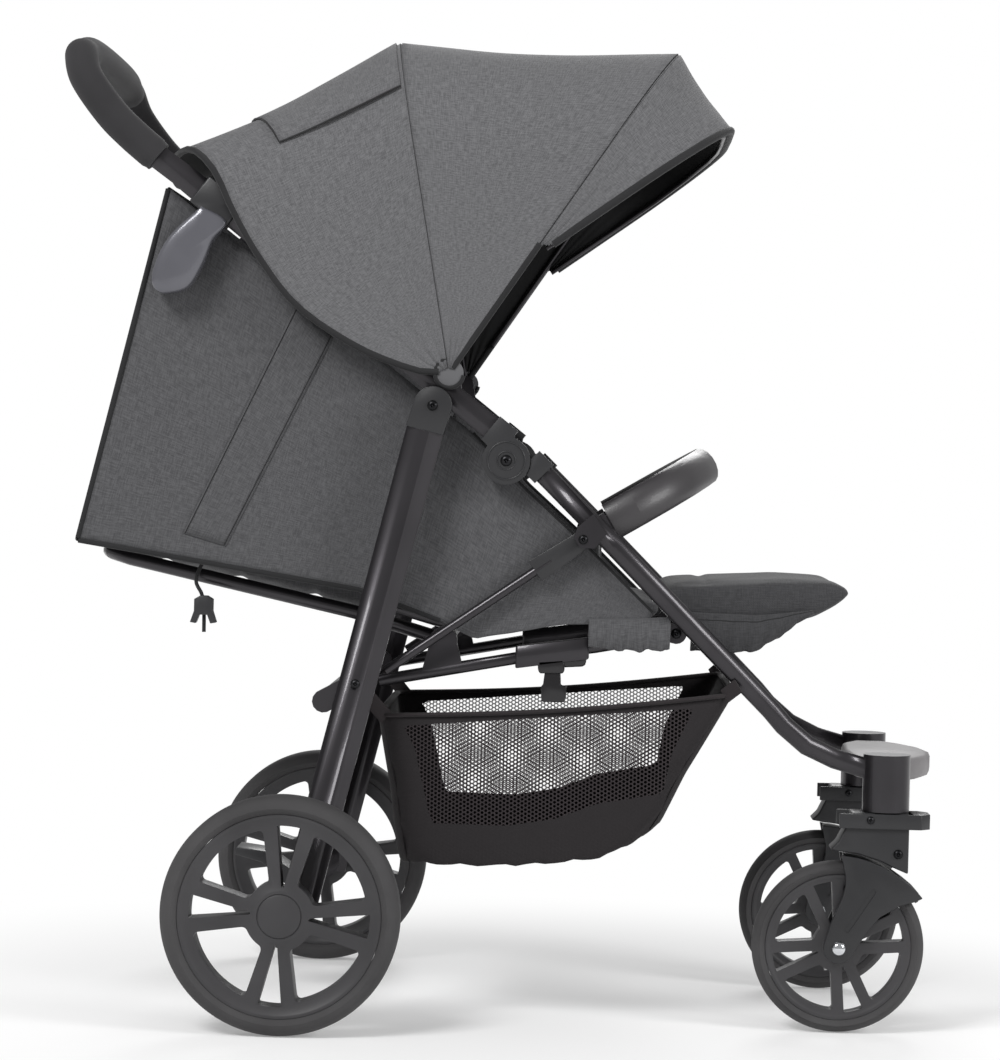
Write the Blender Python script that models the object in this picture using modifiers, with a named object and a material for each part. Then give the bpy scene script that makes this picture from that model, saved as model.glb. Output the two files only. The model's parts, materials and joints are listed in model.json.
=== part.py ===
"""Lightweight folding pushchair, made of separate pieces round its real joints.

Metres, +Z up. +X is the nose and -Y the chair's right side. The origin is on the floor, under the
middle of the chair. Points of the side view are (x, z) pairs; side is -1 right and +1 left.
"""

import math

import bmesh
import bpy
from mathutils import Matrix, Vector

GAP = 0.0003  # clearance between pieces that touch
SKIM = 0.0004  # step that keeps joined shapes' faces out of one plane
RUN = 0.0006  # clearance between pieces that turn or slide on one another
SIDES = {"right": -1, "left": 1}

# Frame tubes: flat ovals, taller in the side view than they are thick across the chair.
TUBE_Y = 0.2125
TUBE_T = 0.015
HANDLE_H = 0.026
LEG_H = 0.022
TUBE_SLOPE = math.radians(142.0)
TUBE_OUT = TUBE_Y + TUBE_T / 2
TUBE_IN = TUBE_Y - TUBE_T / 2

# Fold hinge, beside the joint of handle tube and front leg.
KNUCKLE = (0.002, 0.595)
KNUCKLE_R = 0.025
KNUCKLE_T = 0.0115
KNUCKLE_UP = 0.016  # handle tube's centre line above the hinge axis
SOCKET = 0.0025  # knuckle wall round a tube end
HANDLE_START = -0.0088

# Handle, grip and the seat hanger on it.
GRIP_R = 0.0175
GRIP_ROOM = 0.001  # foam stands this far off the tube

# Rear legs and wheels.
REAR_PIVOT = (-0.075, 0.650)
REAR_LEG_T = 0.020
REAR_LEG_W = 0.040
REAR_LEG_IN = TUBE_OUT + 0.003
REAR_LEG_Y = REAR_LEG_IN + REAR_LEG_T / 2
REAR_LEG_LEAN = 0.24
REAR_WHEEL_R = 0.1233
REAR_WHEEL_W = 0.045
REAR_WHEEL_GAP = 0.012
REAR_AXLE_X = -0.2166
REAR_WHEEL_Y = REAR_LEG_IN + REAR_LEG_T + REAR_WHEEL_GAP + REAR_WHEEL_W / 2
LEG_SCREW = (-0.148, 0.360)
CROSS_TUBE = (-0.182, 0.340)
CROSS_TUBE_R = 0.009
AXLE_R = 0.008
STUB_R = 0.006
STUB_TIP = 0.0145  # how far the axle stub passes the middle of the rear wheel
AXLE_Z = REAR_WHEEL_R

# Casters.
SWIVEL = (0.4106, 0.1525)  # x and |y| of the upright swivel axis
HOUSING_R = 0.025
FRONT_WHEEL_R = 0.0907
FRONT_WHEEL_W = 0.030
FRONT_AXLE_X = 0.3636
FRONT_AXLE_Z = FRONT_WHEEL_R
FORK_T = 0.006
FORK_GAP = 0.0015
BLOCK_Z = 2 * FRONT_WHEEL_R + 0.0106  # the fork's bridge clears the tread
BLOCK_H = 0.043
HOUSING_Z = (BLOCK_Z + BLOCK_H, BLOCK_Z + BLOCK_H + 0.060)
CASTER_PIN_R = 0.004

# Folding links.
LINK_PIVOT = (0.084, 0.515)
LINK_END = (-0.119, 0.3727)
LINK_R = 0.005
LINK_IN = 0.203
LINK_OUT = LINK_IN + 2 * LINK_R

# Bumper bar, slid on two tongues along its own slope.
BUMPER_SLOPE = math.radians(31.0)
BUMPER_AT = (0.1124, 0.534)
BUMPER_Y = 0.187
BUMPER_H = 0.041
BUMPER_T = 0.024
BUMPER_REACH = 0.121
TONGUE = 0.034

# Seat.
HIP = (-0.060, 0.405)
RAIL_Y = 0.184
RAIL_R = 0.0065
HIP_R = 0.008
BACK_Y = 0.160
BACK_R = 0.0075
BACK_TIP = (-0.4306, 0.4899)
SEAT_HALF = 0.150
PANEL_IN = 0.193
CLOTH_T = 0.006
CORD_R = 0.002
CALF_PIVOT = (0.1838, 0.4186)

# Canopy.
CANOPY_PIVOT = (-0.059, 0.684)
BOW_R = 0.003
VISOR_R = 0.0024
BOW_Y = 0.229
BOW_REAR = (math.radians(100.3), 0.355)  # direction and reach of the rear bow
BOW_FRONT = (math.radians(56.3), 0.414)
VISOR_HINGE = (0.0285, 0.8086)
VISOR_TIP = (0.230, 0.953)
HOOD_T = 0.003

# Wheel parts shared by both sizes.
WHEEL_STEPS = 24
COLOURS = {
    "frame": ((0.041, 0.037, 0.039), 0.42, 0.6),
    "plastic": ((0.042, 0.042, 0.045), 0.5, 0.0),
    "tyre": ((0.046, 0.044, 0.046), 0.8, 0.0),
    "canopy_cloth": ((0.105, 0.105, 0.107), 0.95, 0.0),
    "seat_cloth": ((0.072, 0.072, 0.074), 0.95, 0.0),
    "basket_mesh": ((0.020, 0.014, 0.015), 0.9, 0.0),
    "foam": ((0.036, 0.035, 0.037), 0.9, 0.0),
    "leatherette": ((0.070, 0.067, 0.070), 0.35, 0.0),
    "pale_plastic": ((0.397, 0.376, 0.381), 0.5, 0.0),
    "cord": ((0.012, 0.012, 0.013), 0.8, 0.0),
}

PARTS = bpy.data.collections.new("pushchair")
CUTTERS = bpy.data.collections.new("cutters")


def clear_scene():
    """Start from an empty scene with the two collections."""
    for thing in list(bpy.data.objects):
        bpy.data.objects.remove(thing, do_unlink=True)
    for collection in (PARTS, CUTTERS):
        bpy.context.scene.collection.children.link(collection)


def finish(name):
    """Return the material called name, made once."""
    if name in bpy.data.materials:
        return bpy.data.materials[name]
    colour, rough, metal = COLOURS[name]
    made = bpy.data.materials.new(name)
    made.use_nodes = True
    shader = made.node_tree.nodes["Principled BSDF"]
    shader.inputs["Base Color"].default_value = (*colour, 1.0)
    shader.inputs["Roughness"].default_value = rough
    shader.inputs["Metallic"].default_value = metal
    return made


def keep(thing, name, look=None):
    """Name a new object and put it in the collection of parts, or among the cutters without a look."""
    thing.name = name
    for collection in list(thing.users_collection):
        collection.objects.unlink(thing)
    if look is None:
        CUTTERS.objects.link(thing)
        thing.hide_render = True
        thing.display_type = "WIRE"
        return thing
    PARTS.objects.link(thing)
    if thing.type == "MESH":
        thing.data.materials.clear()
        thing.data.materials.append(finish(look))
        thing.data.shade_smooth()
        thing.data.set_sharp_from_angle(angle=math.radians(35))
    return thing


def combine(target, tool, how="UNION"):
    """Join tool to target, or cut it out, with an exact Boolean that stays on the object."""
    step = target.modifiers.new(how.lower(), "BOOLEAN")
    step.operation = how
    step.solver = "EXACT"
    step.object = tool
    return target


def mesh_of(curve_object, name, look=None):
    """Turn a curve into a welded mesh object in the same place."""
    bpy.context.view_layer.update()
    graph = bpy.context.evaluated_depsgraph_get()
    mesh = bpy.data.meshes.new_from_object(curve_object.evaluated_get(graph))
    solid = bmesh.new()
    solid.from_mesh(mesh)
    bmesh.ops.remove_doubles(solid, verts=solid.verts, dist=0.00002)
    bmesh.ops.recalc_face_normals(solid, faces=solid.faces)
    solid.to_mesh(mesh)
    solid.free()
    made = bpy.data.objects.new(name, mesh)
    made.matrix_world = curve_object.matrix_world
    bpy.data.objects.remove(curve_object, do_unlink=True)
    return keep(made, name, look)


def oval(half_across, half_up, count):
    """Return a closed outline curve, the section that a tube is swept with."""
    curve = bpy.data.curves.new("section", "CURVE")
    curve.dimensions = "2D"
    line = curve.splines.new("POLY")
    line.points.add(count - 1)
    for index, point in enumerate(line.points):
        angle = 2 * math.pi * (index + 0.5) / count
        point.co = (half_across * math.cos(angle), half_up * math.sin(angle), 0, 1)
    line.use_cyclic_u = True
    return bpy.data.objects.new("section", curve)


def sweep(name, path, half_across, half_up, look=None, count=12, at=None, twist="Z_UP"):
    """Sweep an oval section, kept upright unless told otherwise, along a path of (x, y, z) points."""
    section = oval(half_across, half_up, count)
    bpy.context.scene.collection.objects.link(section)
    curve = bpy.data.curves.new(name, "CURVE")
    curve.dimensions = "3D"
    curve.twist_mode = twist
    curve.bevel_mode = "OBJECT"
    curve.bevel_object = section
    curve.use_fill_caps = True
    line = curve.splines.new("POLY")
    line.points.add(len(path) - 1)
    for point, place in zip(line.points, path):
        point.co = (*place, 1)
    thing = bpy.data.objects.new(name, curve)
    bpy.context.scene.collection.objects.link(thing)
    thing.matrix_world = at or Matrix.Identity(4)
    made = mesh_of(thing, name, look)
    bpy.data.objects.remove(section, do_unlink=True)
    return made


def rod(name, start, end, radius, look=None, count=12):
    """Make a straight round bar between two points."""
    start, end = Vector(start), Vector(end)
    along = end - start
    bpy.ops.mesh.primitive_cylinder_add(vertices=count, radius=radius, depth=along.length)
    made = bpy.context.object
    made.location = (start + end) / 2
    made.rotation_euler = along.to_track_quat("Z", "Y").to_euler()
    return keep(made, name, look)


def across(name, at, y_range, radius, look=None, count=16):
    """Make a round bar across the chair at an (x, z) point."""
    low, high = sorted(y_range)
    return rod(name, (at[0], low, at[1]), (at[0], high, at[1]), radius, look, count)


def block(name, low, high, look=None, round_by=0.0, at=None):
    """Make a box between two corners, its edges rounded by a bevel."""
    bpy.ops.mesh.primitive_cube_add(size=1)
    made = bpy.context.object
    middle = [(a + b) / 2 for a, b in zip(low, high)]
    size = [b - a for a, b in zip(low, high)]
    made.data.transform(Matrix.Translation(middle) @ Matrix.Diagonal((*size, 1)))
    if round_by:
        edge = made.modifiers.new("edges", "BEVEL")
        edge.width = round_by
        edge.segments = 2
        edge.limit_method = "ANGLE"
    made.matrix_world = at or Matrix.Identity(4)
    return keep(made, name, look)


def plate(name, outline, y_range, look=None, round_by=0.0):
    """Fill a side-view outline of (x, z) points between two y values."""
    low, high = sorted(y_range)
    curve = bpy.data.curves.new(name, "CURVE")
    curve.dimensions = "2D"
    curve.fill_mode = "BOTH"
    curve.extrude = (high - low) / 2
    many = outline if isinstance(outline[0][0], tuple) else [outline]
    for one in many:
        line = curve.splines.new("POLY")
        line.points.add(len(one) - 1)
        for point, place in zip(line.points, one):
            point.co = (place[0], place[1], 0, 1)
        line.use_cyclic_u = True
    thing = bpy.data.objects.new(name, curve)
    bpy.context.scene.collection.objects.link(thing)
    thing.matrix_world = Matrix.Translation((0, (low + high) / 2, 0)) @ Matrix.Rotation(
        math.pi / 2, 4, "X"
    )
    made = mesh_of(thing, name, look)
    if round_by:
        edge = made.modifiers.new("edges", "BEVEL")
        edge.width = round_by
        edge.segments = 2
        edge.limit_method = "ANGLE"
        edge.angle_limit = math.radians(50)
    return made


def turned(name, profile, at, side, look=None, steps=WHEEL_STEPS):
    """Turn a closed profile of (radius, outward) points about the axle at an (x, y, z) point."""
    mesh = bpy.data.meshes.new(name)
    count = len(profile)
    rim = [(index, index + 1) for index in range(count - 1)]
    if profile[0][0] > 0:
        rim.append((count - 1, 0))
    mesh.from_pydata([(r, 0, out) for r, out in profile], rim, [])
    made = bpy.data.objects.new(name, mesh)
    screw = made.modifiers.new("turn", "SCREW")
    screw.steps = steps
    screw.render_steps = steps
    screw.use_merge_vertices = True
    screw.merge_threshold = 0.00002
    weld = made.modifiers.new("weld", "WELD")
    weld.merge_threshold = 0.00002
    lie = Matrix.Rotation(-side * math.pi / 2, 4, "X")
    made.matrix_world = Matrix.Translation(at) @ lie @ Matrix.Rotation(math.pi / steps, 4, "Z")
    bpy.context.scene.collection.objects.link(made)
    return keep(made, name, look)


def shell(name, rows, thick, look, offset=0.0):
    """Loft a sheet through rows of points and give it a thickness."""
    mesh = bpy.data.meshes.new(name)
    wide = len(rows[0])
    points = [point for row in rows for point in row]
    faces = []
    for i in range(len(rows) - 1):
        for j in range(wide - 1):
            k = i * wide + j
            faces.append((k, k + 1, k + wide + 1, k + wide))
    mesh.from_pydata(points, [], faces)
    made = bpy.data.objects.new(name, mesh)
    bpy.context.scene.collection.objects.link(made)
    skin = made.modifiers.new("thickness", "SOLIDIFY")
    skin.thickness = thick
    skin.offset = offset
    skin.use_even_offset = True
    return keep(made, name, look)


def along(start, angle, length):
    """Return the (x, z) point at a length and direction from another."""
    return (start[0] + length * math.cos(angle), start[1] + length * math.sin(angle))


def mix(a, b, t):
    """Blend two points or numbers."""
    if isinstance(a, (int, float)):
        return a + (b - a) * t
    return tuple(p + (q - p) * t for p, q in zip(a, b))


def arc(centre, radius, start, end, count):
    """Return (x, z) points along an arc, angles in degrees."""
    spread = [math.radians(mix(start, end, i / (count - 1))) for i in range(count)]
    return [along(centre, angle, radius) for angle in spread]


def handle_line(x):
    """Return the height of the handle tube's centre line at x."""
    foot = along(KNUCKLE, TUBE_SLOPE - math.pi / 2, KNUCKLE_UP)
    return foot[1] + (x - foot[0]) * math.tan(TUBE_SLOPE)


def handle_path(top_only=False):
    """Return the whole handle's centre line, from the right knuckle over the top to the left."""
    curl = [(-0.3685, 0.902), (-0.418, 0.945), (-0.4437, 0.982), (-0.4525, 1.005)]
    side_line = [(x, handle_line(x)) for x in (HANDLE_START, -0.1165, -0.325)]
    if top_only:
        side_line = []
    half = [(x, -TUBE_Y, z) for x, z in side_line + curl[:2]]
    corner = 0.075
    for index, (x, z) in enumerate([curl[2], curl[3], curl[3], curl[3]]):
        turn = math.radians((20, 45, 65, 90)[index])
        y = TUBE_Y - corner * (1 - math.cos(turn))
        half.append((x, -y, z + 0.004 * index))
    half.append((curl[3][0], -0.06, curl[3][1] + 0.0115))
    return half + [(x, -y, z) for x, y, z in reversed(half)]


def leg_path(side):
    """Return a front leg's centre line, drawn in to the caster housing."""
    top = (KNUCKLE[0] + 0.0306, KNUCKLE[1] - 0.0043)
    line = [top, (0.1179, 0.5077), (0.160, 0.4659), (0.2292, 0.3968), (0.286, 0.340)]
    line += [(0.300, 0.324), (0.325, 0.303), (0.355, 0.289), (SWIVEL[0] - 0.012, HOUSING_Z[0] + 0.042)]
    path = []
    for x, z in line:
        inward = min(max((x - 0.150) / 0.205, 0.0), 1.0)
        path.append((x, side * mix(TUBE_Y, SWIVEL[1], inward), z))
    return path


def longer(path, side=None):
    """Return a straight path lengthened by the clearance at its start, on the side asked for."""
    first, second = Vector(path[0]), Vector(path[1])
    first = first + (first - second).normalized() * GAP
    if side is None:
        return [tuple(first), tuple(second)]
    return [(point.x, side * abs(point.y), point.z) for point in (first, second)]


def make_front_leg(name, side):
    """Make a front leg with its housing, link bracket and bumper mount in one piece."""
    leg = sweep("front_leg_" + name, leg_path(side), TUBE_T / 2, LEG_H / 2, "frame")
    x, y = SWIVEL[0], side * SWIVEL[1]
    housing = rod("housing", (x, y, HOUSING_Z[0]), (x, y, HOUSING_Z[1]), HOUSING_R, count=28)
    combine(leg, housing)
    bore = rod("housing_bore", (x, y, HOUSING_Z[0] - 0.035), (x, y, HOUSING_Z[0] + 0.035), 0.0075)
    combine(leg, bore, "DIFFERENCE")
    px, pz = LINK_PIVOT
    ear = [(px - 0.006, pz + 0.013), (px + 0.010, pz + 0.027), (px + 0.024, pz + 0.006)]
    ear += [(px + 0.012, pz - 0.009), (px - 0.003, pz - 0.009), (px - 0.010, pz + 0.002)]
    combine(leg, plate("ear", ear, (side * (LINK_OUT + RUN), side * TUBE_OUT)))
    pin = across("pin", LINK_PIVOT, (side * (LINK_IN + 0.001), side * (TUBE_OUT - 0.002)), 0.004)
    combine(leg, pin)
    lean = Matrix.Translation((BUMPER_AT[0], 0, BUMPER_AT[1])) @ Matrix.Rotation(
        -BUMPER_SLOPE, 4, "Y"
    )
    low, high = sorted((side * (BUMPER_Y - 0.006), side * (BUMPER_Y + 0.006)))
    tongue = block("tongue", (-0.016, low, -0.008), (TONGUE, high, 0.008), at=lean)
    reach = sorted((side * (BUMPER_Y - 0.006), side * (TUBE_IN + 0.004)))
    mount = block("mount", (-0.020, reach[0], -0.012), (-0.002, reach[1], 0.012), at=lean)
    combine(leg, mount)
    combine(leg, tongue)
    return leg


def make_knuckles(name, side):
    """Make the two halves of a fold hinge, each with the socket of its tube."""
    split = TUBE_Y
    inner = (side * (split - KNUCKLE_T), side * (split - GAP))
    outer = (side * (split + GAP), side * (split + KNUCKLE_T))
    up = TUBE_SLOPE - math.pi / 2
    seam = along(KNUCKLE, up, 0.0)
    frame = [along(seam, TUBE_SLOPE, reach) for reach in (0.010, 0.034)]
    top = [along(point, up, KNUCKLE_UP + HANDLE_H / 2 + SOCKET) for point in frame]
    low = [along(point, up, KNUCKLE_UP - HANDLE_H / 2 - SOCKET) for point in frame]
    wide = (side * (TUBE_IN - SOCKET), side * (split + KNUCKLE_T))
    upper = across("knuckle_upper_" + name, KNUCKLE, outer, KNUCKLE_R, "plastic", 32)
    arm = plate("arm", [low[0], top[0], top[1], low[1]], wide)
    room = across("room", KNUCKLE, (side * 0.18, side * (split + GAP - 0.0001)), KNUCKLE_R + RUN, count=32)
    combine(arm, room, "DIFFERENCE")
    thin = (outer[0] + side * SKIM, outer[1] - side * SKIM)
    hold = [along(along(low[0], TUBE_SLOPE, 0.002), up, 0.001)]
    hold.append(along(along(top[0], TUBE_SLOPE, 0.002), up, -0.001))
    web = plate("web", [along(KNUCKLE, TUBE_SLOPE, -0.003)] + hold, thin)
    combine(upper, arm)
    combine(upper, web)
    hollow = sweep("tube_room", longer(handle_path()[:2], side), TUBE_T / 2 + GAP, HANDLE_H / 2 + GAP)
    combine(upper, hollow, "DIFFERENCE")
    lower = across("knuckle_lower_" + name, KNUCKLE, inner, KNUCKLE_R, "plastic", 32)
    leg = leg_path(side)
    start = (leg[0][0], leg[0][2])
    run = math.atan2(leg[1][2] - leg[0][2], leg[1][0] - leg[0][0])
    normal = run + math.pi / 2
    deep = LEG_H / 2 + SOCKET
    box = [along(along(start, run, a), normal, b) for a, b in
           ((-0.008, -deep), (0.0125, -deep), (0.0125, deep), (-0.008, deep))]
    foot = plate("foot", box, (side * (TUBE_IN - SOCKET), side * (TUBE_OUT + SOCKET)))
    clear = across("clear", KNUCKLE, (side * (split - GAP + 0.0001), side * 0.25), KNUCKLE_R + RUN, count=32)
    combine(foot, clear, "DIFFERENCE")
    combine(lower, foot)
    thin = (inner[0] + side * SKIM, inner[1] - side * SKIM)
    hold = [along(along(start, run, -0.006), normal, b) for b in (-deep + 0.001, deep - 0.001)]
    combine(lower, plate("neck", [along(KNUCKLE, run, -0.003)] + hold, thin))
    leg_room = sweep("leg_room", longer(leg[:2]), TUBE_T / 2 + GAP, LEG_H / 2 + GAP)
    combine(lower, leg_room, "DIFFERENCE")
    pin = across("pin", KNUCKLE, (side * (split - 0.004), side * (split + 0.006)), 0.006)
    pin_room = across("pin_room", KNUCKLE, (side * split, side * (split + 0.0066)), 0.0063)
    combine(upper, pin_room, "DIFFERENCE")
    combine(lower, pin)


def make_handle():
    """Make the looped handle tube with its brackets, and the foam grip over its top."""
    tube = sweep("handle_tube", handle_path(), TUBE_T / 2, HANDLE_H / 2, "frame", twist="MINIMUM")
    grip = sweep("handle_grip", handle_path(True), GRIP_R, GRIP_R, "foam", 14, twist="MINIMUM")
    core = sweep("grip_room", handle_path(), TUBE_T / 2 + GRIP_ROOM, HANDLE_H / 2 + GRIP_ROOM,
                 twist="MINIMUM")
    combine(grip, core, "DIFFERENCE")
    for side in SIDES.values():
        px, pz = REAR_PIVOT
        under = handle_line(px) - 0.008
        ear = arc(REAR_PIVOT, 0.012, 150, 390, 11) + [(px + 0.018, under - 0.012), (px - 0.010, under)]
        combine(tube, plate("ear", ear, (side * (TUBE_Y - 0.006), side * (TUBE_Y + 0.006))))
        pin_end = side * (REAR_LEG_IN + REAR_LEG_T - 0.002)
        combine(tube, across("leg_pin", REAR_PIVOT, (side * TUBE_Y, pin_end), 0.004))
        cx, cz = CANOPY_PIVOT
        low = handle_line(cx)
        horn = [(cx - 0.010, low), (cx - 0.009, cz + 0.004), (cx, cz + 0.009), (cx + 0.009, cz + 0.004)]
        horn.append((cx + 0.016, handle_line(cx + 0.016)))
        combine(tube, plate("horn", horn, (side * (TUBE_Y - 0.005), side * (TUBE_Y + 0.005))))
        hub_end = side * (BOW_Y + BOW_R)
        combine(tube, across("bow_pin", CANOPY_PIVOT, (side * TUBE_Y, hub_end), 0.004))
    return tube


def make_hanger(name, side):
    """Make the clip on the handle tube that holds the seat and hood cloth."""
    out = TUBE_SLOPE - math.pi / 2
    ends = [(x, handle_line(x)) for x in (-0.2870, -0.3240)]
    thick = HANDLE_H / 2 + 0.004
    ring = [along(ends[0], out, -thick), along(ends[0], out, thick)]
    ring += [along(ends[1], out, thick), along(ends[1], out, -thick)]
    clip = plate("seat_hanger_clip_" + name, ring,
                 (side * (TUBE_IN - 0.0035), side * (TUBE_OUT + 0.0035)), "plastic", 0.002)
    paddle = [(-0.321, 0.850), (-0.345, 0.828), (-0.3574, 0.8117), (-0.3675, 0.790), (-0.3699, 0.772)]
    paddle += [(-0.364, 0.764), (-0.3541, 0.762), (-0.3345, 0.7677), (-0.320, 0.790)]
    paddle += [(-0.3098, 0.816), (-0.2957, 0.835)]
    blade = plate("paddle", paddle, (side * (TUBE_OUT - 0.004), side * (TUBE_OUT + 0.008)), None, 0.002)
    combine(clip, blade)
    room = [ends[0][0] + 0.02, ends[1][0] - 0.02]
    path = [(x, side * TUBE_Y, handle_line(x)) for x in room]
    combine(clip, sweep("tube_room", path, TUBE_T / 2 + GAP, HANDLE_H / 2 + GAP), "DIFFERENCE")


def leg_x(z):
    """Return the rear leg's centre line x at a height."""
    return REAR_PIVOT[0] - 0.0015 + REAR_LEG_LEAN * (z - REAR_PIVOT[1])


def make_rear_leg(name, side):
    """Make a rear leg with its foot, and the plastic cap at its top pivot."""
    lean = math.atan2(-1, -REAR_LEG_LEAN)
    seam = (leg_x(0.624), 0.624)
    foot = (leg_x(0.112), 0.112)
    y = side * REAR_LEG_Y
    path = [(seam[0], y, seam[1]), (foot[0], y, foot[1])]
    leg = sweep("rear_leg_" + name, path, REAR_LEG_T / 2, REAR_LEG_W / 2, "frame")
    axle = (REAR_AXLE_X, AXLE_Z)
    inner, outer = side * REAR_LEG_IN, side * (REAR_LEG_IN + REAR_LEG_T)
    combine(leg, across("foot", axle, (inner, outer), 0.024, count=28))
    combine(leg, across("bore", axle, (side * 0.2, side * 0.26), STUB_R + GAP), "DIFFERENCE")
    wide = REAR_LEG_W / 2
    bottom = along(seam, lean, -GAP)
    left = along(bottom, lean - math.pi / 2, wide)
    right = along(bottom, lean + math.pi / 2, wide)
    outline = [right] + arc(REAR_PIVOT, wide, -5, 175, 15) + [left]
    cap = plate("rear_leg_cap_" + name, outline, (inner, outer), "plastic", 0.002)
    pin = across("pin_room", REAR_PIVOT, (inner * 0.9, side * (REAR_LEG_IN + REAR_LEG_T - 0.0015)),
                 0.004 + GAP)
    combine(cap, pin, "DIFFERENCE")


def make_rear_bars():
    """Make the rear cross tube with its brackets, the axle and the brake pedal."""
    ends = REAR_LEG_IN - GAP
    tube = across("rear_cross_tube", CROSS_TUBE, (-ends, ends), CROSS_TUBE_R, "frame")
    for side in SIDES.values():
        turn = math.atan2(LEG_SCREW[1] - CROSS_TUBE[1], LEG_SCREW[0] - CROSS_TUBE[0])
        deg = math.degrees(turn)
        lug = arc(LEG_SCREW, 0.011, deg - 80, deg + 80, 7) + arc(CROSS_TUBE, 0.012, deg + 100, deg + 260, 7)
        combine(tube, plate("lug", lug, (side * (LINK_OUT + RUN), side * ends)))
    axle = (REAR_AXLE_X, AXLE_Z)
    bar = across("rear_axle", axle, (-ends, ends), AXLE_R, "frame")
    tip = REAR_WHEEL_Y + STUB_TIP
    combine(bar, across("stub", axle, (-tip, tip), STUB_R))
    pedal = across("brake_pedal", axle, (-0.030, 0.030), 0.015, "plastic", 24)
    x, z = axle
    lever = [(x - 0.004, z + 0.012), (x - 0.040, z + 0.036), (x - 0.072, z + 0.040)]
    lever += [(x - 0.074, z + 0.032), (x - 0.044, z + 0.024), (x - 0.010, z - 0.006)]
    combine(pedal, plate("lever", lever, (-0.027, 0.027)))
    combine(pedal, across("bore", axle, (-0.05, 0.05), AXLE_R + RUN), "DIFFERENCE")


def window_outlines(axle, inner, outer, first, spoke, slot):
    """Return the outlines of four narrow slots and four wide windows of a spoked wheel."""
    outlines = []
    for quarter in range(4):
        mid = first + 90 * quarter
        tight = arc(axle, outer, mid - slot, mid + slot, 3)
        outlines.append([along(axle, math.radians(mid), inner + 0.010)] + tight)
        wide = mid + 45
        half = 45 - slot - math.degrees(spoke / outer)
        near = 45 - math.degrees(0.72 * spoke / inner) - slot * 0.4
        fan = arc(axle, outer, wide - half, wide + half, 6)
        fan += arc(axle, inner, wide + near, wide - near, 3)
        outlines.append(fan)
    return outlines


def make_rear_wheel(name, side):
    """Make a rear tyre and its spoked rim, turning on the axle's stub."""
    at = (REAR_AXLE_X, side * REAR_WHEEL_Y, AXLE_Z)
    half = REAR_WHEEL_W / 2
    seat = REAR_WHEEL_R * 0.851
    tread = AXLE_Z / math.cos(math.pi / WHEEL_STEPS)
    low = REAR_LEG_IN + REAR_LEG_T + RUN - REAR_WHEEL_Y
    tyre = [(seat + GAP, half - 0.004), (seat + 0.007, half), (tread - 0.004, half - 0.004)]
    tyre += [(tread, half - 0.011), (tread, 0.011 - half), (tread - 0.004, 0.004 - half)]
    tyre += [(seat + 0.007, -half), (seat + GAP, 0.004 - half)]
    turned("rear_tyre_" + name, tyre, at, side, "tyre")
    rim = [(0, 0.019), (0.020, 0.019), (0.0225, 0.016), (0.0235, 0.010), (seat - 0.012, 0.009)]
    rim += [(seat - 0.008, half - 0.004), (seat, half - 0.004), (seat, 0.004 - half)]
    rim += [(seat - 0.008, 0.004 - half), (seat - 0.012, -0.009), (0.022, -0.009)]
    rim += [(0.014, -0.014), (0.013, low), (STUB_R + RUN, low), (STUB_R + RUN, STUB_TIP + RUN)]
    rim += [(0, STUB_TIP + RUN)]
    wheel = turned("rear_rim_" + name, rim, at, side, "plastic")
    spaces = window_outlines((at[0], at[2]), 0.036, seat - 0.0125, 85, 0.0095, 5.5)
    cuts = plate("windows", spaces, (at[1] - 0.02, at[1] + 0.02))
    combine(wheel, cuts, "DIFFERENCE")


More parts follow.
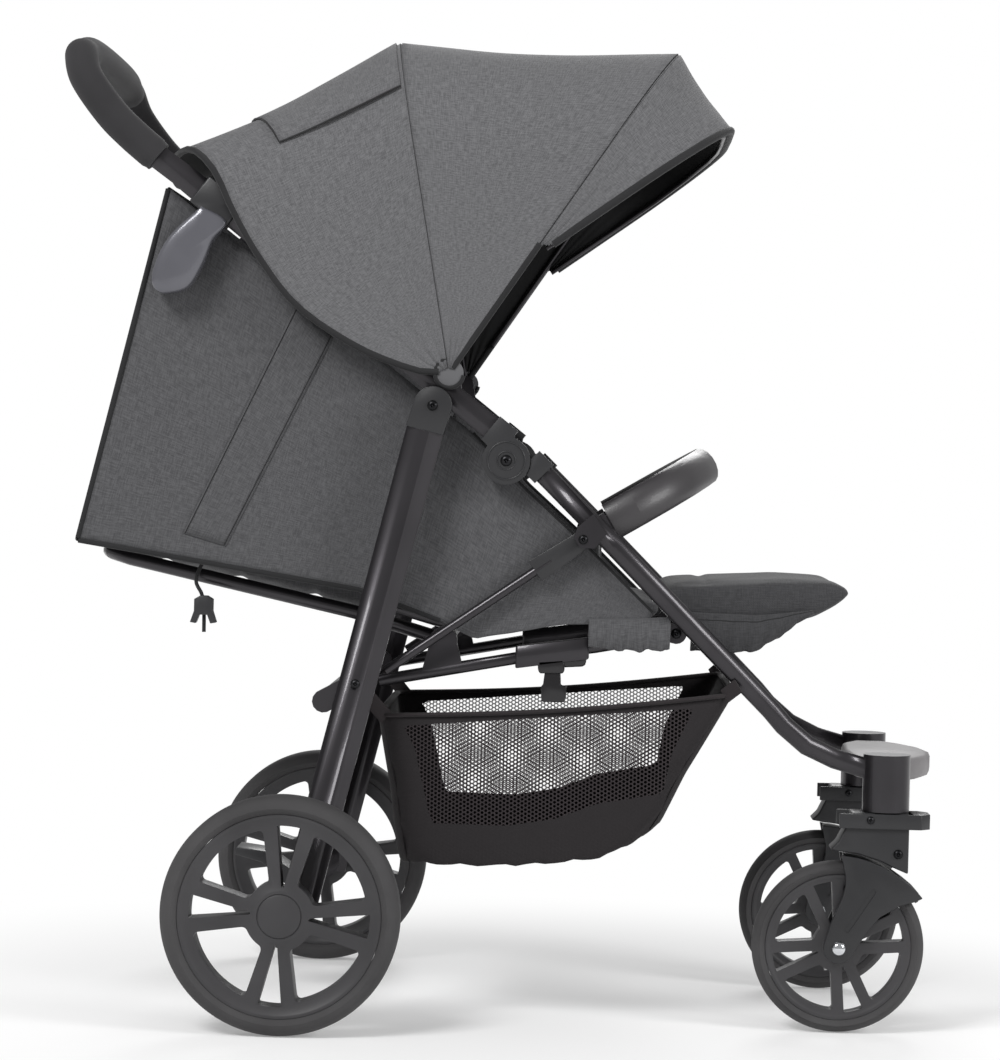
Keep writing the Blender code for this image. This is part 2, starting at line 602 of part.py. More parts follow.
def make_caster(name, side):
    """Make a caster fork, its swivel lock lever, and the front tyre and rim."""
    x, y = SWIVEL[0], side * SWIVEL[1]
    top = HOUSING_Z[0] - RUN
    near = FRONT_WHEEL_W / 2 + FORK_GAP
    wide = near + FORK_T
    fork = block("caster_fork_" + name, (x - 0.050, y - wide + 0.0015, BLOCK_Z),
                 (x + 0.024, y + wide - 0.0015, top), "plastic", 0.003)
    ax, az = FRONT_AXLE_X, FRONT_AXLE_Z
    cheek = [(x - 0.0475, BLOCK_Z + 0.012), (x + 0.0215, BLOCK_Z + 0.012), (x + 0.026, BLOCK_Z - 0.020)]
    cheek += [(x + 0.0403, BLOCK_Z - 0.0474), (x + 0.018, BLOCK_Z - 0.0565), (ax + 0.030, az + 0.028)]
    cheek += arc((ax, az), 0.014, 20, -200, 11)
    cheek += [(ax - 0.004, az + 0.036), (ax + 0.002, az + 0.070), (ax - 0.006, az + 0.092)]
    for edge in (-1, 1):
        span = (y + edge * near, y + edge * wide)
        combine(fork, plate("cheek", cheek, span))
    combine(fork, across("axle", (ax, az), (y - near - 0.002, y + near + 0.002), CASTER_PIN_R))
    combine(fork, rod("post", (x, y, top - 0.01), (x, y, HOUSING_Z[0] + 0.034), 0.007))
    flat = (wide - 0.0015) + RUN
    u = [(x - 0.050, -flat - 0.003), (x + 0.036, -flat - 0.003), (x + 0.046, -flat + 0.008)]
    u += [(x + 0.046, flat - 0.008), (x + 0.036, flat + 0.003), (x - 0.050, flat + 0.003)]
    u += [(x - 0.050, flat), (x + 0.0275, flat), (x + 0.0275, -flat), (x - 0.050, -flat)]
    lever = slab("swivel_lock_" + name, [(a, y + b) for a, b in u], (top - 0.0165, top - 0.0008), "plastic")
    seat = FRONT_WHEEL_R * 0.849
    tread = FRONT_AXLE_Z / math.cos(math.pi / WHEEL_STEPS)
    half = FRONT_WHEEL_W / 2
    at = (ax, y, az)
    tyre = [(seat + GAP, half - 0.003), (seat + 0.004, half), (tread - 0.003, half - 0.003)]
    tyre += [(tread, half - 0.007), (tread, 0.007 - half), (tread - 0.003, 0.003 - half)]
    tyre += [(seat + 0.004, -half), (seat + GAP, 0.003 - half)]
    turned("front_tyre_" + name, tyre, at, side, "tyre")
    bore = CASTER_PIN_R + RUN
    hub = near - RUN
    rim = [(bore, hub), (0.012, hub), (0.014, 0.007), (seat - 0.009, 0.006), (seat - 0.006, half - 0.003)]
    rim += [(seat, half - 0.003), (seat, 0.003 - half), (seat - 0.006, 0.003 - half)]
    rim += [(seat - 0.009, -0.006), (0.014, -0.007), (0.012, -hub), (bore, -hub)]
    wheel = turned("front_rim_" + name, rim, at, side, "plastic")
    spaces = window_outlines((ax, az), 0.024, seat - 0.0095, 15, 0.008, 6.5)
    combine(wheel, plate("windows", spaces, (y - 0.013, y + 0.013)), "DIFFERENCE")
    return lever


def slab(name, outline, z_range, look=None, round_by=0.0):
    """Fill a plan outline of (x, y) points between two heights."""
    low, high = z_range
    curve = bpy.data.curves.new(name, "CURVE")
    curve.dimensions = "2D"
    curve.fill_mode = "BOTH"
    curve.extrude = (high - low) / 2
    line = curve.splines.new("POLY")
    line.points.add(len(outline) - 1)
    for point, place in zip(line.points, outline):
        point.co = (place[0], place[1], 0, 1)
    line.use_cyclic_u = True
    thing = bpy.data.objects.new(name, curve)
    bpy.context.scene.collection.objects.link(thing)
    thing.matrix_world = Matrix.Translation((0, 0, (low + high) / 2))
    made = mesh_of(thing, name, look)
    if round_by:
        edge = made.modifiers.new("edges", "BEVEL")
        edge.width = round_by
        edge.segments = 2
        edge.limit_method = "ANGLE"
        edge.angle_limit = math.radians(50)
    return made


def make_link(name, side):
    """Make a folding link bar and the plastic socket at its front pivot."""
    y = side * (LINK_IN + LINK_R)
    slope = math.atan2(LINK_END[1] - LINK_PIVOT[1], LINK_END[0] - LINK_PIVOT[0])
    start = along(LINK_PIVOT, slope, 0.040)
    bar = rod("link_" + name, (start[0], y, start[1]), (LINK_END[0], y, LINK_END[1]), LINK_R, "frame")
    front, back = slope + math.pi / 2, slope - math.pi / 2
    box = []
    for reach, wide, turn in ((0.005, 0.0100, back), (0.060, 0.0125, back), (0.060, 0.0125, front),
                              (0.007, 0.0100, front)):
        box.append(along(along(LINK_PIVOT, slope, reach), turn, wide))
    nose = arc(LINK_PIVOT, 0.0072, math.degrees(slope) - 260, math.degrees(slope) - 100, 7)
    socket = plate("link_socket_" + name, box + nose,
                   (side * LINK_IN, side * LINK_OUT), "plastic", 0.001)
    hole = across("hole", LINK_PIVOT, (side * 0.19, side * 0.23), 0.004 + RUN)
    combine(socket, hole, "DIFFERENCE")
    reach = along(LINK_PIVOT, slope, 0.040 - GAP)
    far = along(LINK_PIVOT, slope, 0.08)
    room = rod("room", (reach[0], y, reach[1]), (far[0], y, far[1]), LINK_R + GAP)
    combine(socket, room, "DIFFERENCE")
    return bar


def make_bumper():
    """Make the padded bumper bar with a pocket at each end for its tongue."""
    lean = Matrix.Translation((BUMPER_AT[0], 0, BUMPER_AT[1])) @ Matrix.Rotation(
        -BUMPER_SLOPE, 4, "Y"
    )
    half = [(0.0, BUMPER_Y), (0.030, BUMPER_Y), (0.062, 0.176), (0.089, 0.142), (0.108, 0.090)]
    half.append((BUMPER_REACH - 0.002, 0.034))
    path = [(x, -y, 0) for x, y in half] + [(x, y, 0) for x, y in reversed(half)]
    bar = sweep("bumper_bar", path, BUMPER_T / 2, BUMPER_H / 2, "leatherette", 16, lean)
    for side in SIDES.values():
        low, high = sorted((side * (BUMPER_Y - 0.006 - RUN), side * (BUMPER_Y + 0.006 + RUN)))
        pocket = block("pocket", (-0.01, low, -0.008 - RUN), (TONGUE + RUN, high, 0.008 + RUN), at=lean)
        combine(bar, pocket, "DIFFERENCE")


def make_footrest():
    """Make the bowed platform between the caster housings."""
    x, y = SWIVEL
    end = y - HOUSING_R - GAP
    front = [(x + 0.020, end), (x + 0.040, end * 0.72), (x + 0.055, end * 0.38), (x + 0.0605, 0.0)]
    rear = [(x - 0.014, end), (x - 0.030, end * 0.70), (x - 0.0346, 0.0)]
    outline = [(a, -b) for a, b in front] + [(a, b) for a, b in reversed(front[:-1])]
    outline += [(a, b) for a, b in rear] + [(a, -b) for a, b in reversed(rear[:-1])]
    low = HOUSING_Z[0] + 0.029
    slab("footrest", outline, (low, low + 0.024), "pale_plastic", 0.006)


def rail_height(x):
    """Return the seat rail's height at x."""
    return mix(0.3607, 0.3888, (x + 0.1264) / 0.1566)


def make_seat_frame():
    """Make the seat rails, the hip tube, the front cross tube and the latch hook."""
    for name, side in SIDES.items():
        y = side * RAIL_Y
        path = [(-0.1264, y, rail_height(-0.1264)), (0.050, y, 0.3945), (0.100, y, 0.4020)]
        path.append((CALF_PIVOT[0] - 0.004, side * (RAIL_Y - 0.001), CALF_PIVOT[1] - 0.001))
        rail = sweep("seat_rail_" + name, path, RAIL_R, RAIL_R, "frame", 12)
        near, far = side * (RAIL_Y - 0.008), side * (RAIL_Y + 0.008)
        sleeve = [(0.016, 0.3775), (0.093, 0.389), (0.093, 0.412), (0.016, 0.401)]
        combine(rail, plate("sleeve", sleeve, (near, far), None, 0.002))
        base = rail_height(HIP[0])
        ear = arc(HIP, 0.0145, -10, 190, 11) + [(HIP[0] - 0.022, base), (HIP[0] + 0.022, base)]
        combine(rail, plate("ear", ear, (side * (RAIL_Y - 0.005), side * (RAIL_Y + 0.005))))
        combine(rail, across("eye", HIP, (side * 0.170, side * RAIL_Y), HIP_R + GAP), "DIFFERENCE")
        boss = across("boss", CALF_PIVOT, (side * (RAIL_Y - 0.008), side * (RAIL_Y + 0.0075)), 0.011)
        combine(rail, boss)
        pin = across("pin_room", CALF_PIVOT, (side * 0.17, side * (RAIL_Y + 0.004)), HIP_R + GAP)
        combine(rail, pin, "DIFFERENCE")
    across("hip_tube", HIP, (GAP - RAIL_Y, RAIL_Y - GAP), HIP_R, "frame")
    end = RAIL_Y + 0.004 - GAP
    across("seat_front_tube", CALF_PIVOT, (-end, end), HIP_R, "frame")
    pivot = (0.0585, 0.374)
    hook = arc(pivot, 0.0075, -40, 200, 11)
    hook += [(0.0475, 0.352), (0.0450, 0.343), (0.0600, 0.343), (0.0740, 0.345), (0.0740, 0.350)]
    hook += [(0.0640, 0.351), (0.0640, 0.360)]
    plate("latch_hook", hook, (-RAIL_Y - 0.006, -RAIL_Y + 0.006), "plastic")


def taper(thing, start, end, factor):
    """Draw a solid in towards the middle between two values of x."""
    for vertex in thing.data.vertices:
        place = thing.matrix_world @ vertex.co
        t = min(max((place.x - start) / (end - start), 0.0), 1.0)
        place.y *= mix(1.0, factor, t)
        vertex.co = thing.matrix_world.inverted() @ place


def make_seat():
    """Make the seat pad, crotch strap, calf rest and basket."""
    front = CALF_PIVOT[0] - 0.014
    pad = [(-0.036, 0.4215), (0.020, 0.4225), (0.100, 0.4270), (front, 0.4330)]
    pad += [(front + 0.004, 0.452), (0.110, 0.4540), (0.020, 0.4470), (-0.036, 0.4440)]
    plate("seat_pad", pad, (-SEAT_HALF - 0.018, SEAT_HALF + 0.018), "seat_cloth", 0.006)
    block("crotch_buckle", (0.088, -0.020, 0.4575), (0.104, 0.020, 0.512), "plastic", 0.004)
    under = 0.4300
    calf = [(CALF_PIVOT[0] - 0.006, under + 0.004), (0.230, under), (0.274, 0.4355), (0.3254, 0.4545)]
    calf += [(0.3640, 0.4535), (0.3725, 0.4600), (0.3480, 0.4770)]
    calf += [(0.250, 0.4777), (CALF_PIVOT[0] + 0.002, 0.4740)]
    rest = plate("calf_pad", calf, (-0.150, 0.150), "seat_cloth")
    taper(rest, 0.22, 0.36, 0.86)
    lower = 0.0085
    half = [(CALF_PIVOT[0] + 0.0135, 0.105, CALF_PIVOT[1] + 0.002), (0.230, 0.105, under - lower)]
    half += [(0.290, 0.102, 0.4395 - lower), (0.322, 0.095, 0.4515 - lower), (0.330, 0.080, 0.4525 - lower)]
    path = [(x, -y, z) for x, y, z in half] + [(x, y, z) for x, y, z in reversed(half)]
    wire = sweep("calf_frame", path, 0.004, 0.004, "frame", 10)
    for side in SIDES.values():
        eye = across("eye", CALF_PIVOT, (side * 0.097, side * 0.113), 0.0145)
        combine(wire, eye)
    hole = across("hole", CALF_PIVOT, (-0.12, 0.12), HIP_R + RUN)
    combine(wire, hole, "DIFFERENCE")


def basket_outline(inset, rise):
    """Return the basket's side outline, drawn in by the cloth and raised at its hem."""
    low = [(-0.1011, 0.1683), (-0.0113, 0.1700), (0.0557, 0.1744), (0.112, 0.1811), (0.174, 0.2119)]
    low += [(0.1973, 0.2429), (0.2222, 0.2937), (0.246, 0.3560)]
    high = [(-0.1272, 0.3246), (-0.1109, 0.2685)]
    middle = (0.06, 0.30)
    points = []
    for x, z in low + high:
        away = math.hypot(x - middle[0], z - middle[1])
        pull = 1 - inset / away
        points.append((mix(middle[0], x, pull), mix(middle[1], z, pull) + (rise if z > 0.31 else 0)))
    return points


def make_basket():
    """Make the cloth basket, open at its top."""
    basket = plate("basket", basket_outline(0, 0), (-0.190, 0.190), "basket_mesh")
    taper(basket, 0.10, 0.25, 0.88)
    space = plate("basket_room", basket_outline(0.005, 0.02), (-0.187, 0.187))
    taper(space, 0.10, 0.25, 0.88)
    combine(basket, space, "DIFFERENCE")


def make_seat_back():
    """Make the backrest frame and pad, the head wall, the side cloths and the recline cord."""
    tip = BACK_TIP[0] + BACK_R
    half = [(HIP[0] - 0.010, BACK_Y, HIP[1] + 0.002), (-0.1569, BACK_Y, 0.4314), (-0.345, BACK_Y, 0.4712)]
    half += [(-0.395, BACK_Y - 0.006, 0.4815), (tip + 0.006, BACK_Y - 0.022, 0.4870), (tip, 0.115, 0.4885)]
    path = [(x, -y, z) for x, y, z in half] + [(x, y, z) for x, y, z in reversed(half)]
    frame = sweep("backrest_frame", path, BACK_R, BACK_R, "frame", 12)
    for side in SIDES.values():
        span = (side * (BACK_Y - BACK_R), side * (BACK_Y + BACK_R))
        combine(frame, across("eye", HIP, span, 0.0135))
    combine(frame, across("hole", HIP, (-0.2, 0.2), HIP_R + RUN), "DIFFERENCE")
    lift = BACK_R + 0.0025
    line = [(-0.118, 0.4213), (-0.1569, 0.4314), (-0.345, 0.4712), (-0.425, 0.4880)]
    pad = [(x, z + lift) for x, z in line] + [(x, z + lift + 0.022) for x, z in reversed(line)]
    plate("backrest_pad", pad, (-BACK_Y - 0.006, BACK_Y + 0.006), "seat_cloth", 0.005)
    top, bottom = (-0.3590, 0.8704), (-0.4455, 0.5040)
    wall = [top, bottom, (bottom[0] + 0.005, bottom[1]), (top[0] + 0.005, top[1])]
    plate("head_wall", wall, (-PANEL_IN + GAP, PANEL_IN - GAP), "seat_cloth")
    cloth = [(-0.3572, 0.8704), (-0.4455, 0.5004), (-0.1502, 0.4564), (-0.0643, 0.4260)]
    cloth += [(-0.0270, 0.4059), (0.020, 0.4176), (0.1037, 0.4303), (0.152, 0.4150), (0.1580, 0.4404)]
    cloth += [(0.0913, 0.5045), (0.020, 0.5680), (-0.034, 0.6230)]
    for name, side in SIDES.items():
        span = (side * PANEL_IN, side * (PANEL_IN + CLOTH_T))
        plate("side_panel_" + name, cloth, span, "seat_cloth", 0.0015)
    y = -0.180
    strand = [(-0.3004, y, 0.4960), (-0.3140, y, 0.4830), (-0.3226, y, 0.4615), (-0.3165, y, 0.4470)]
    strand += [(-0.3138, y, 0.4353), (-0.3131, y, 0.4067)]
    sweep("recline_cord", strand, CORD_R, CORD_R, "cord", 8)
    lock = [(-0.3235, 0.4290), (-0.3235, 0.4415), (-0.3175, 0.4450), (-0.3100, 0.4450)]
    lock += [(-0.3040, 0.4415), (-0.3040, 0.4290), (-0.3000, 0.4170), (-0.3060, 0.4160)]
    lock += [(-0.3095, 0.4250), (-0.3180, 0.4250), (-0.3215, 0.4160), (-0.3275, 0.4170)]
    toggle = plate("cord_lock", lock, (y - 0.007, y + 0.007), "plastic")
    room = sweep("cord_room", strand, CORD_R + GAP, CORD_R + GAP, None, 8)
    combine(toggle, room, "DIFFERENCE")


def hoop(centre, angle, reach, y, start, shift=0.0):
    """Return a bow's line, up one side, over the top and down the other, at an angle about a pivot."""
    round_by = 0.13
    half = [(mix(start, reach - round_by, i / 4), y) for i in range(4)]
    for step in range(5):
        turn = math.radians(22.5 * step)
        half.append((reach - round_by * (1 - math.sin(turn)), y - round_by * (1 - math.cos(turn))))
    across_bow = [(r, -w) for r, w in half] + [(reach + 0.001, 0.0)] + [(r, w) for r, w in reversed(half)]
    aside = angle + math.pi / 2
    points = []
    for r, w in across_bow:
        x, z = along(along(centre, angle, r), aside, shift)
        points.append((x, w, z))
    return points


def make_canopy():
    """Make the bows, the visor wire and the three cloths stretched over them."""
    rear_turn, rear_reach = BOW_REAR
    front_turn, front_reach = BOW_FRONT
    rear = hoop(CANOPY_PIVOT, rear_turn, rear_reach, BOW_Y, 0.008)
    bow = sweep("canopy_bow_rear", rear, BOW_R, BOW_R, "frame", 8)
    for side in SIDES.values():
        span = (side * (TUBE_OUT + RUN), side * (BOW_Y + BOW_R))
        combine(bow, across("hub", CANOPY_PIVOT, span, 0.010))
    combine(bow, across("hole", CANOPY_PIVOT, (-0.3, 0.3), 0.004 + RUN), "DIFFERENCE")
    sweep("canopy_bow_front", hoop(CANOPY_PIVOT, front_turn, front_reach, BOW_Y, 0.055),
          BOW_R, BOW_R, "frame", 8)
    dx, dz = VISOR_TIP[0] - VISOR_HINGE[0], VISOR_TIP[1] - VISOR_HINGE[1]
    visor_turn, visor_reach = math.atan2(dz, dx), math.hypot(dx, dz)
    inner = BOW_Y - BOW_R - VISOR_R - 0.0006
    sweep("visor_wire", hoop(VISOR_HINGE, visor_turn, visor_reach - 0.008, inner, 0.012),
          VISOR_R, VISOR_R, "frame", 8)
    lift = BOW_R + 0.0006
    y = BOW_Y + lift
    seam = 0.0012
    mid_back = hoop(CANOPY_PIVOT, rear_turn, rear_reach + lift, y, 0.020, -seam)
    mid_front = hoop(CANOPY_PIVOT, front_turn, front_reach + lift, y, 0.020, seam)
    rows = [[mix(a, b, i / 4) for a, b in zip(mid_back, mid_front)] for i in range(5)]
    shell("canopy_mid_panel", rows, HOOD_T, "canopy_cloth", -1.0)
    hinge_reach = math.hypot(VISOR_HINGE[0] - CANOPY_PIVOT[0], VISOR_HINGE[1] - CANOPY_PIVOT[1])
    base = hoop(CANOPY_PIVOT, front_turn, front_reach + lift, y, hinge_reach + 0.012, -seam)
    brim = hoop(VISOR_HINGE, visor_turn, visor_reach, y, 0.020, 0.0)
    rows = [[mix(a, b, i / 3) for a, b in zip(base, brim)] for i in range(4)]
    shell("canopy_visor_panel", rows, HOOD_T, "canopy_cloth", -1.0)
    start = hoop(CANOPY_PIVOT, rear_turn, rear_reach + lift, y, 0.020, seam)
    side_line = [(-0.077, y, 0.6890), (-0.0953, y, 0.6885), (-0.1531, y, 0.7090), (-0.2165, y, 0.7482)]
    side_line += [(-0.2573, y, 0.7970), (-0.2866, y, 0.8453), (-0.3080, y - 0.004, 0.8880)]
    side_line += [(-0.3350, 0.200, 0.9120), (-0.3600, 0.140, 0.9080)]
    edge = [(x, -w, z) for x, w, z in side_line] + [(-0.3730, 0.0, 0.8900)]
    edge += [(x, w, z) for x, w, z in reversed(side_line)]
    rows = []
    for i in range(6):
        t = i / 5
        row = [mix(a, b, t) for a, b in zip(start, edge)]
        middle = len(row) // 2
        swell = 0.010 * math.sin(math.pi * t)
        rows.append([(p[0], p[1], p[2] + swell * max(0, 1 - abs(j - middle) / 4))
                     for j, p in enumerate(row)])
    shell("canopy_rear_panel", rows, HOOD_T, "canopy_cloth", 1.0)


def hang_on(names, place):
    """Parent pieces to an empty on their joint's axis, leaving them where they are."""
    axis = bpy.data.objects.new("axis_" + names[0], None)
    axis.location = place
    axis.empty_display_size = 0.05
    PARTS.objects.link(axis)
    for name in names:
        piece = bpy.data.objects[name]
        piece.parent = axis
        piece.matrix_parent_inverse = Matrix.Translation(place).inverted()


def main():
    """Build every piece and hang the moving ones on their axes."""
    clear_scene()
    make_handle()
    make_bumper()
    make_footrest()
    make_seat_frame()
    make_seat()
    make_basket()
    make_seat_back()
    make_canopy()
    make_rear_bars()
    for name, side in SIDES.items():
        make_front_leg(name, side)
        make_knuckles(name, side)
        make_hanger(name, side)
        make_rear_leg(name, side)
        make_rear_wheel(name, side)
        make_caster(name, side)
        make_link(name, side)
    both = [[stem + name for name in SIDES] for stem in
            ("knuckle_upper_", "seat_hanger_clip_", "rear_leg_", "rear_leg_cap_", "link_", "link_socket_")]
    uppers, clips, legs, caps, links, sockets = both
    hang_on(["handle_tube", "handle_grip"] + uppers + clips, (KNUCKLE[0], 0, KNUCKLE[1]))
    hang_on(legs + caps + ["rear_cross_tube"], (REAR_PIVOT[0], 0, REAR_PIVOT[1]))
    hang_on(links + sockets, (LINK_PIVOT[0], 0, LINK_PIVOT[1]))
    hang_on(["hip_tube", "backrest_frame", "backrest_pad"], (HIP[0], 0, HIP[1]))
    hang_on(["calf_frame", "calf_pad"], (CALF_PIVOT[0], 0, CALF_PIVOT[1]))
    for name, side in SIDES.items():
        x, y = SWIVEL[0], side * SWIVEL[1]
        hang_on(["caster_fork_" + name, "swivel_lock_" + name], (x, y, HOUSING_Z[0]))
        hang_on(["front_rim_" + name, "front_tyre_" + name], (FRONT_AXLE_X, y, FRONT_AXLE_Z))
        hang_on(["rear_rim_" + name, "rear_tyre_" + name], (REAR_AXLE_X, side * REAR_WHEEL_Y, AXLE_Z))


main()
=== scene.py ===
"""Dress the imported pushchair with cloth, foam, rubber and fittings over its fixed frame.

Metres, +Z up. +X is the nose and -Y the chair's right side, which the camera faces. Points of the side
view are (x, z) pairs, and side is -1 for the right and +1 for the left.
"""

import itertools
import json
import logging
import math
from collections.abc import Callable
from dataclasses import dataclass
from enum import Enum

import bmesh
import bpy
from mathutils import Matrix, Vector
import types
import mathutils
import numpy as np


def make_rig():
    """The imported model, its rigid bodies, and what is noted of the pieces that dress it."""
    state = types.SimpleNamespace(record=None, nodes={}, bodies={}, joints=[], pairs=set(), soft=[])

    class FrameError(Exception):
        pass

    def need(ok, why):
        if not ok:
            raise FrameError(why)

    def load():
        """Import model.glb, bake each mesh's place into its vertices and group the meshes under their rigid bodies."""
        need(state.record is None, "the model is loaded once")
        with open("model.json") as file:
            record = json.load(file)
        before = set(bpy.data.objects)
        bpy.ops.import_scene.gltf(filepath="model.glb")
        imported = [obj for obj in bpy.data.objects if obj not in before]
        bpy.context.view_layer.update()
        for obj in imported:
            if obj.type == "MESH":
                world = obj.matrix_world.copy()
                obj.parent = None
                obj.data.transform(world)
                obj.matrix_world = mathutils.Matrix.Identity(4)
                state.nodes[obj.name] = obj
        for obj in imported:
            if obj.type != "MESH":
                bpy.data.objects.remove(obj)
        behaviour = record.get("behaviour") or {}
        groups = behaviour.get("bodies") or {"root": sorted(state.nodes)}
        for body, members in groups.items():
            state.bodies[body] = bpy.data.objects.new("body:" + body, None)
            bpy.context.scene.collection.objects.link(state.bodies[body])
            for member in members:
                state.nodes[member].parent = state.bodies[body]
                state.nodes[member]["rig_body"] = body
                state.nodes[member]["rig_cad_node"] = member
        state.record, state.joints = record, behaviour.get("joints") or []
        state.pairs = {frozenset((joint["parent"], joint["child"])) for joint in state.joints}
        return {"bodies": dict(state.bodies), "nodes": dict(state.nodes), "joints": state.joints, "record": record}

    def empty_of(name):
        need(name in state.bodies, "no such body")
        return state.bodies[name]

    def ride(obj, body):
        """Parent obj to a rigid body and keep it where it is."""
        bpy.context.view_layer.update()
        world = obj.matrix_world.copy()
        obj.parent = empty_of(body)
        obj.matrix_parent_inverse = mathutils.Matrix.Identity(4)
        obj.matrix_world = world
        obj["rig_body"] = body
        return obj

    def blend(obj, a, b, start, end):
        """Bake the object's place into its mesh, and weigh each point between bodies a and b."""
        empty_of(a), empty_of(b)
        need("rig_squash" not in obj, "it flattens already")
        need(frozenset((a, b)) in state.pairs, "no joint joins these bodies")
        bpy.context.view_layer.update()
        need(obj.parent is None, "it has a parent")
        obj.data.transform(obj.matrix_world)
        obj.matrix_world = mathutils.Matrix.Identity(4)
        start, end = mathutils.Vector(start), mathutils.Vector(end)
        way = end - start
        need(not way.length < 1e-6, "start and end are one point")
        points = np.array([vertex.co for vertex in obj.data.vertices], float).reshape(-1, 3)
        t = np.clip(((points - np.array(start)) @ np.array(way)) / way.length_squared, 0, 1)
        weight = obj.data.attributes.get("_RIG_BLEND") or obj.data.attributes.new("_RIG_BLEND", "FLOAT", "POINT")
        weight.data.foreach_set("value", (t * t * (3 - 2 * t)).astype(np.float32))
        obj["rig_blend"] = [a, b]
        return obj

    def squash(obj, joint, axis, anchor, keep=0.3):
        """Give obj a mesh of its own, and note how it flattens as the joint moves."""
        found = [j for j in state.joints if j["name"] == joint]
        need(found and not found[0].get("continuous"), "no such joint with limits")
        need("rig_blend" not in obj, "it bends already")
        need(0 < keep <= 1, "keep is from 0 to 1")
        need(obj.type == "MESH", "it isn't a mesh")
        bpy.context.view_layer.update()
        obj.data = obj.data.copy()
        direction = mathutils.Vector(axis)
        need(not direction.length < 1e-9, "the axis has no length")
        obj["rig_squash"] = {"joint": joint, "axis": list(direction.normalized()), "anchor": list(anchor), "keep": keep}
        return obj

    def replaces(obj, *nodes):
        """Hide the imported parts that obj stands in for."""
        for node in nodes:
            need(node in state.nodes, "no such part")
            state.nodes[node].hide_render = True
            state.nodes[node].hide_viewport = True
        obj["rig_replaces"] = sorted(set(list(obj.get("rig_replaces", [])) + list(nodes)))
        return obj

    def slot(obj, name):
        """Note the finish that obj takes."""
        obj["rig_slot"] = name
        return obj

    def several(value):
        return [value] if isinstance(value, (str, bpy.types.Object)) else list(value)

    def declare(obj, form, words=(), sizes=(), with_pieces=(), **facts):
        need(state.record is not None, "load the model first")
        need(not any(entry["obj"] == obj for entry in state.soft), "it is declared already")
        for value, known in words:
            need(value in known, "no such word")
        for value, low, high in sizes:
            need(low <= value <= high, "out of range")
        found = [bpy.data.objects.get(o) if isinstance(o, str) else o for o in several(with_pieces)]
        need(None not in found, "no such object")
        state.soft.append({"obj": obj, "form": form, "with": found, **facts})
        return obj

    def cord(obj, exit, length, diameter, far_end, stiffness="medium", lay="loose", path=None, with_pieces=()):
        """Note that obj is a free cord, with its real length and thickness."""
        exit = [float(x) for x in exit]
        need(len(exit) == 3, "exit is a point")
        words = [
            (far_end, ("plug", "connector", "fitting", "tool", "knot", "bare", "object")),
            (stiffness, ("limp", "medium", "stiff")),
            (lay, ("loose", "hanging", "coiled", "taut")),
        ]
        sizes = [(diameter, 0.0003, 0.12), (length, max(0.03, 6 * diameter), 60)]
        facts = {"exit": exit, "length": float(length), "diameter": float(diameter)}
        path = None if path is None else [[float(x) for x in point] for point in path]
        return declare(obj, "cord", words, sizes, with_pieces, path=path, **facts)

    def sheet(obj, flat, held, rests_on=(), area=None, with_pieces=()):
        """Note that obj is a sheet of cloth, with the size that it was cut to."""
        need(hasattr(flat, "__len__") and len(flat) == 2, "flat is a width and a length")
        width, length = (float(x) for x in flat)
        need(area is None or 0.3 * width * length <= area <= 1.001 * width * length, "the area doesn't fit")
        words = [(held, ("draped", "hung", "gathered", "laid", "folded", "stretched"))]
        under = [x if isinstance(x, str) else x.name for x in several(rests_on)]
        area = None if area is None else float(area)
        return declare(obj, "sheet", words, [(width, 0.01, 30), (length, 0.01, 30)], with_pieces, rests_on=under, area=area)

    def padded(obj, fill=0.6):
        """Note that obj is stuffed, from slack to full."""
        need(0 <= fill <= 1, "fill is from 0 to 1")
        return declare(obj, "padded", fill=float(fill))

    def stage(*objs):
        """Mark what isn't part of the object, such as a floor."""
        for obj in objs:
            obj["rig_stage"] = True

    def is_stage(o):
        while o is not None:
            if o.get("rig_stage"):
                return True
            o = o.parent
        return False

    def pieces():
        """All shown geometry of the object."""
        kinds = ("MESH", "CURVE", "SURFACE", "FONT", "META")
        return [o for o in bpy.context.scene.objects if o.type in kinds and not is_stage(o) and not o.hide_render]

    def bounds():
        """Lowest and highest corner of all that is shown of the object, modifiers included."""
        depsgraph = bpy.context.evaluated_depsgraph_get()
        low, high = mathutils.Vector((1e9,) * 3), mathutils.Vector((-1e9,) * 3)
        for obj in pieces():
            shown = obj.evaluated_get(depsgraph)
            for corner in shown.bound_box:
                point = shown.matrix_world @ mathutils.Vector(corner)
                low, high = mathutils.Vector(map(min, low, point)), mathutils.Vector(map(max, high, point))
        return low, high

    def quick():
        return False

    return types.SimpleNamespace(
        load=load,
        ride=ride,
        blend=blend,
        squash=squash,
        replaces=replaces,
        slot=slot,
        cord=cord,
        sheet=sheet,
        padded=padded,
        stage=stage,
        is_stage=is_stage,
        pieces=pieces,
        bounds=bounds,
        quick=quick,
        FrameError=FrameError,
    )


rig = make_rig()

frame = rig.load()
CAD_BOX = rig.bounds()
LOG = logging.getLogger("pushchair")
SIDES = {"right": -1, "left": 1}
# Depth of a surface's relief, and the smallest share of its flat rectangle that a cloth covers.
RELIEF, LEAST = 0.0006, 0.301
# Side-view places of the hood's pivot, the visor's hinge and the visor's brim.
PIVOT, HINGE, BRIM = (-0.059, 0.684), (0.0285, 0.8086), (0.230, 0.953)
# Side-view place of the front axles, and their distance from the chair's middle.
AXLE, CASTER = (0.3636, 0.0907), 0.1525
Point = tuple[float, float, float]
Flat = tuple[float, float]
Rows = list[list[Point]]
Thing = bpy.types.Object
Tree = bpy.types.NodeTree
Node = bpy.types.Node


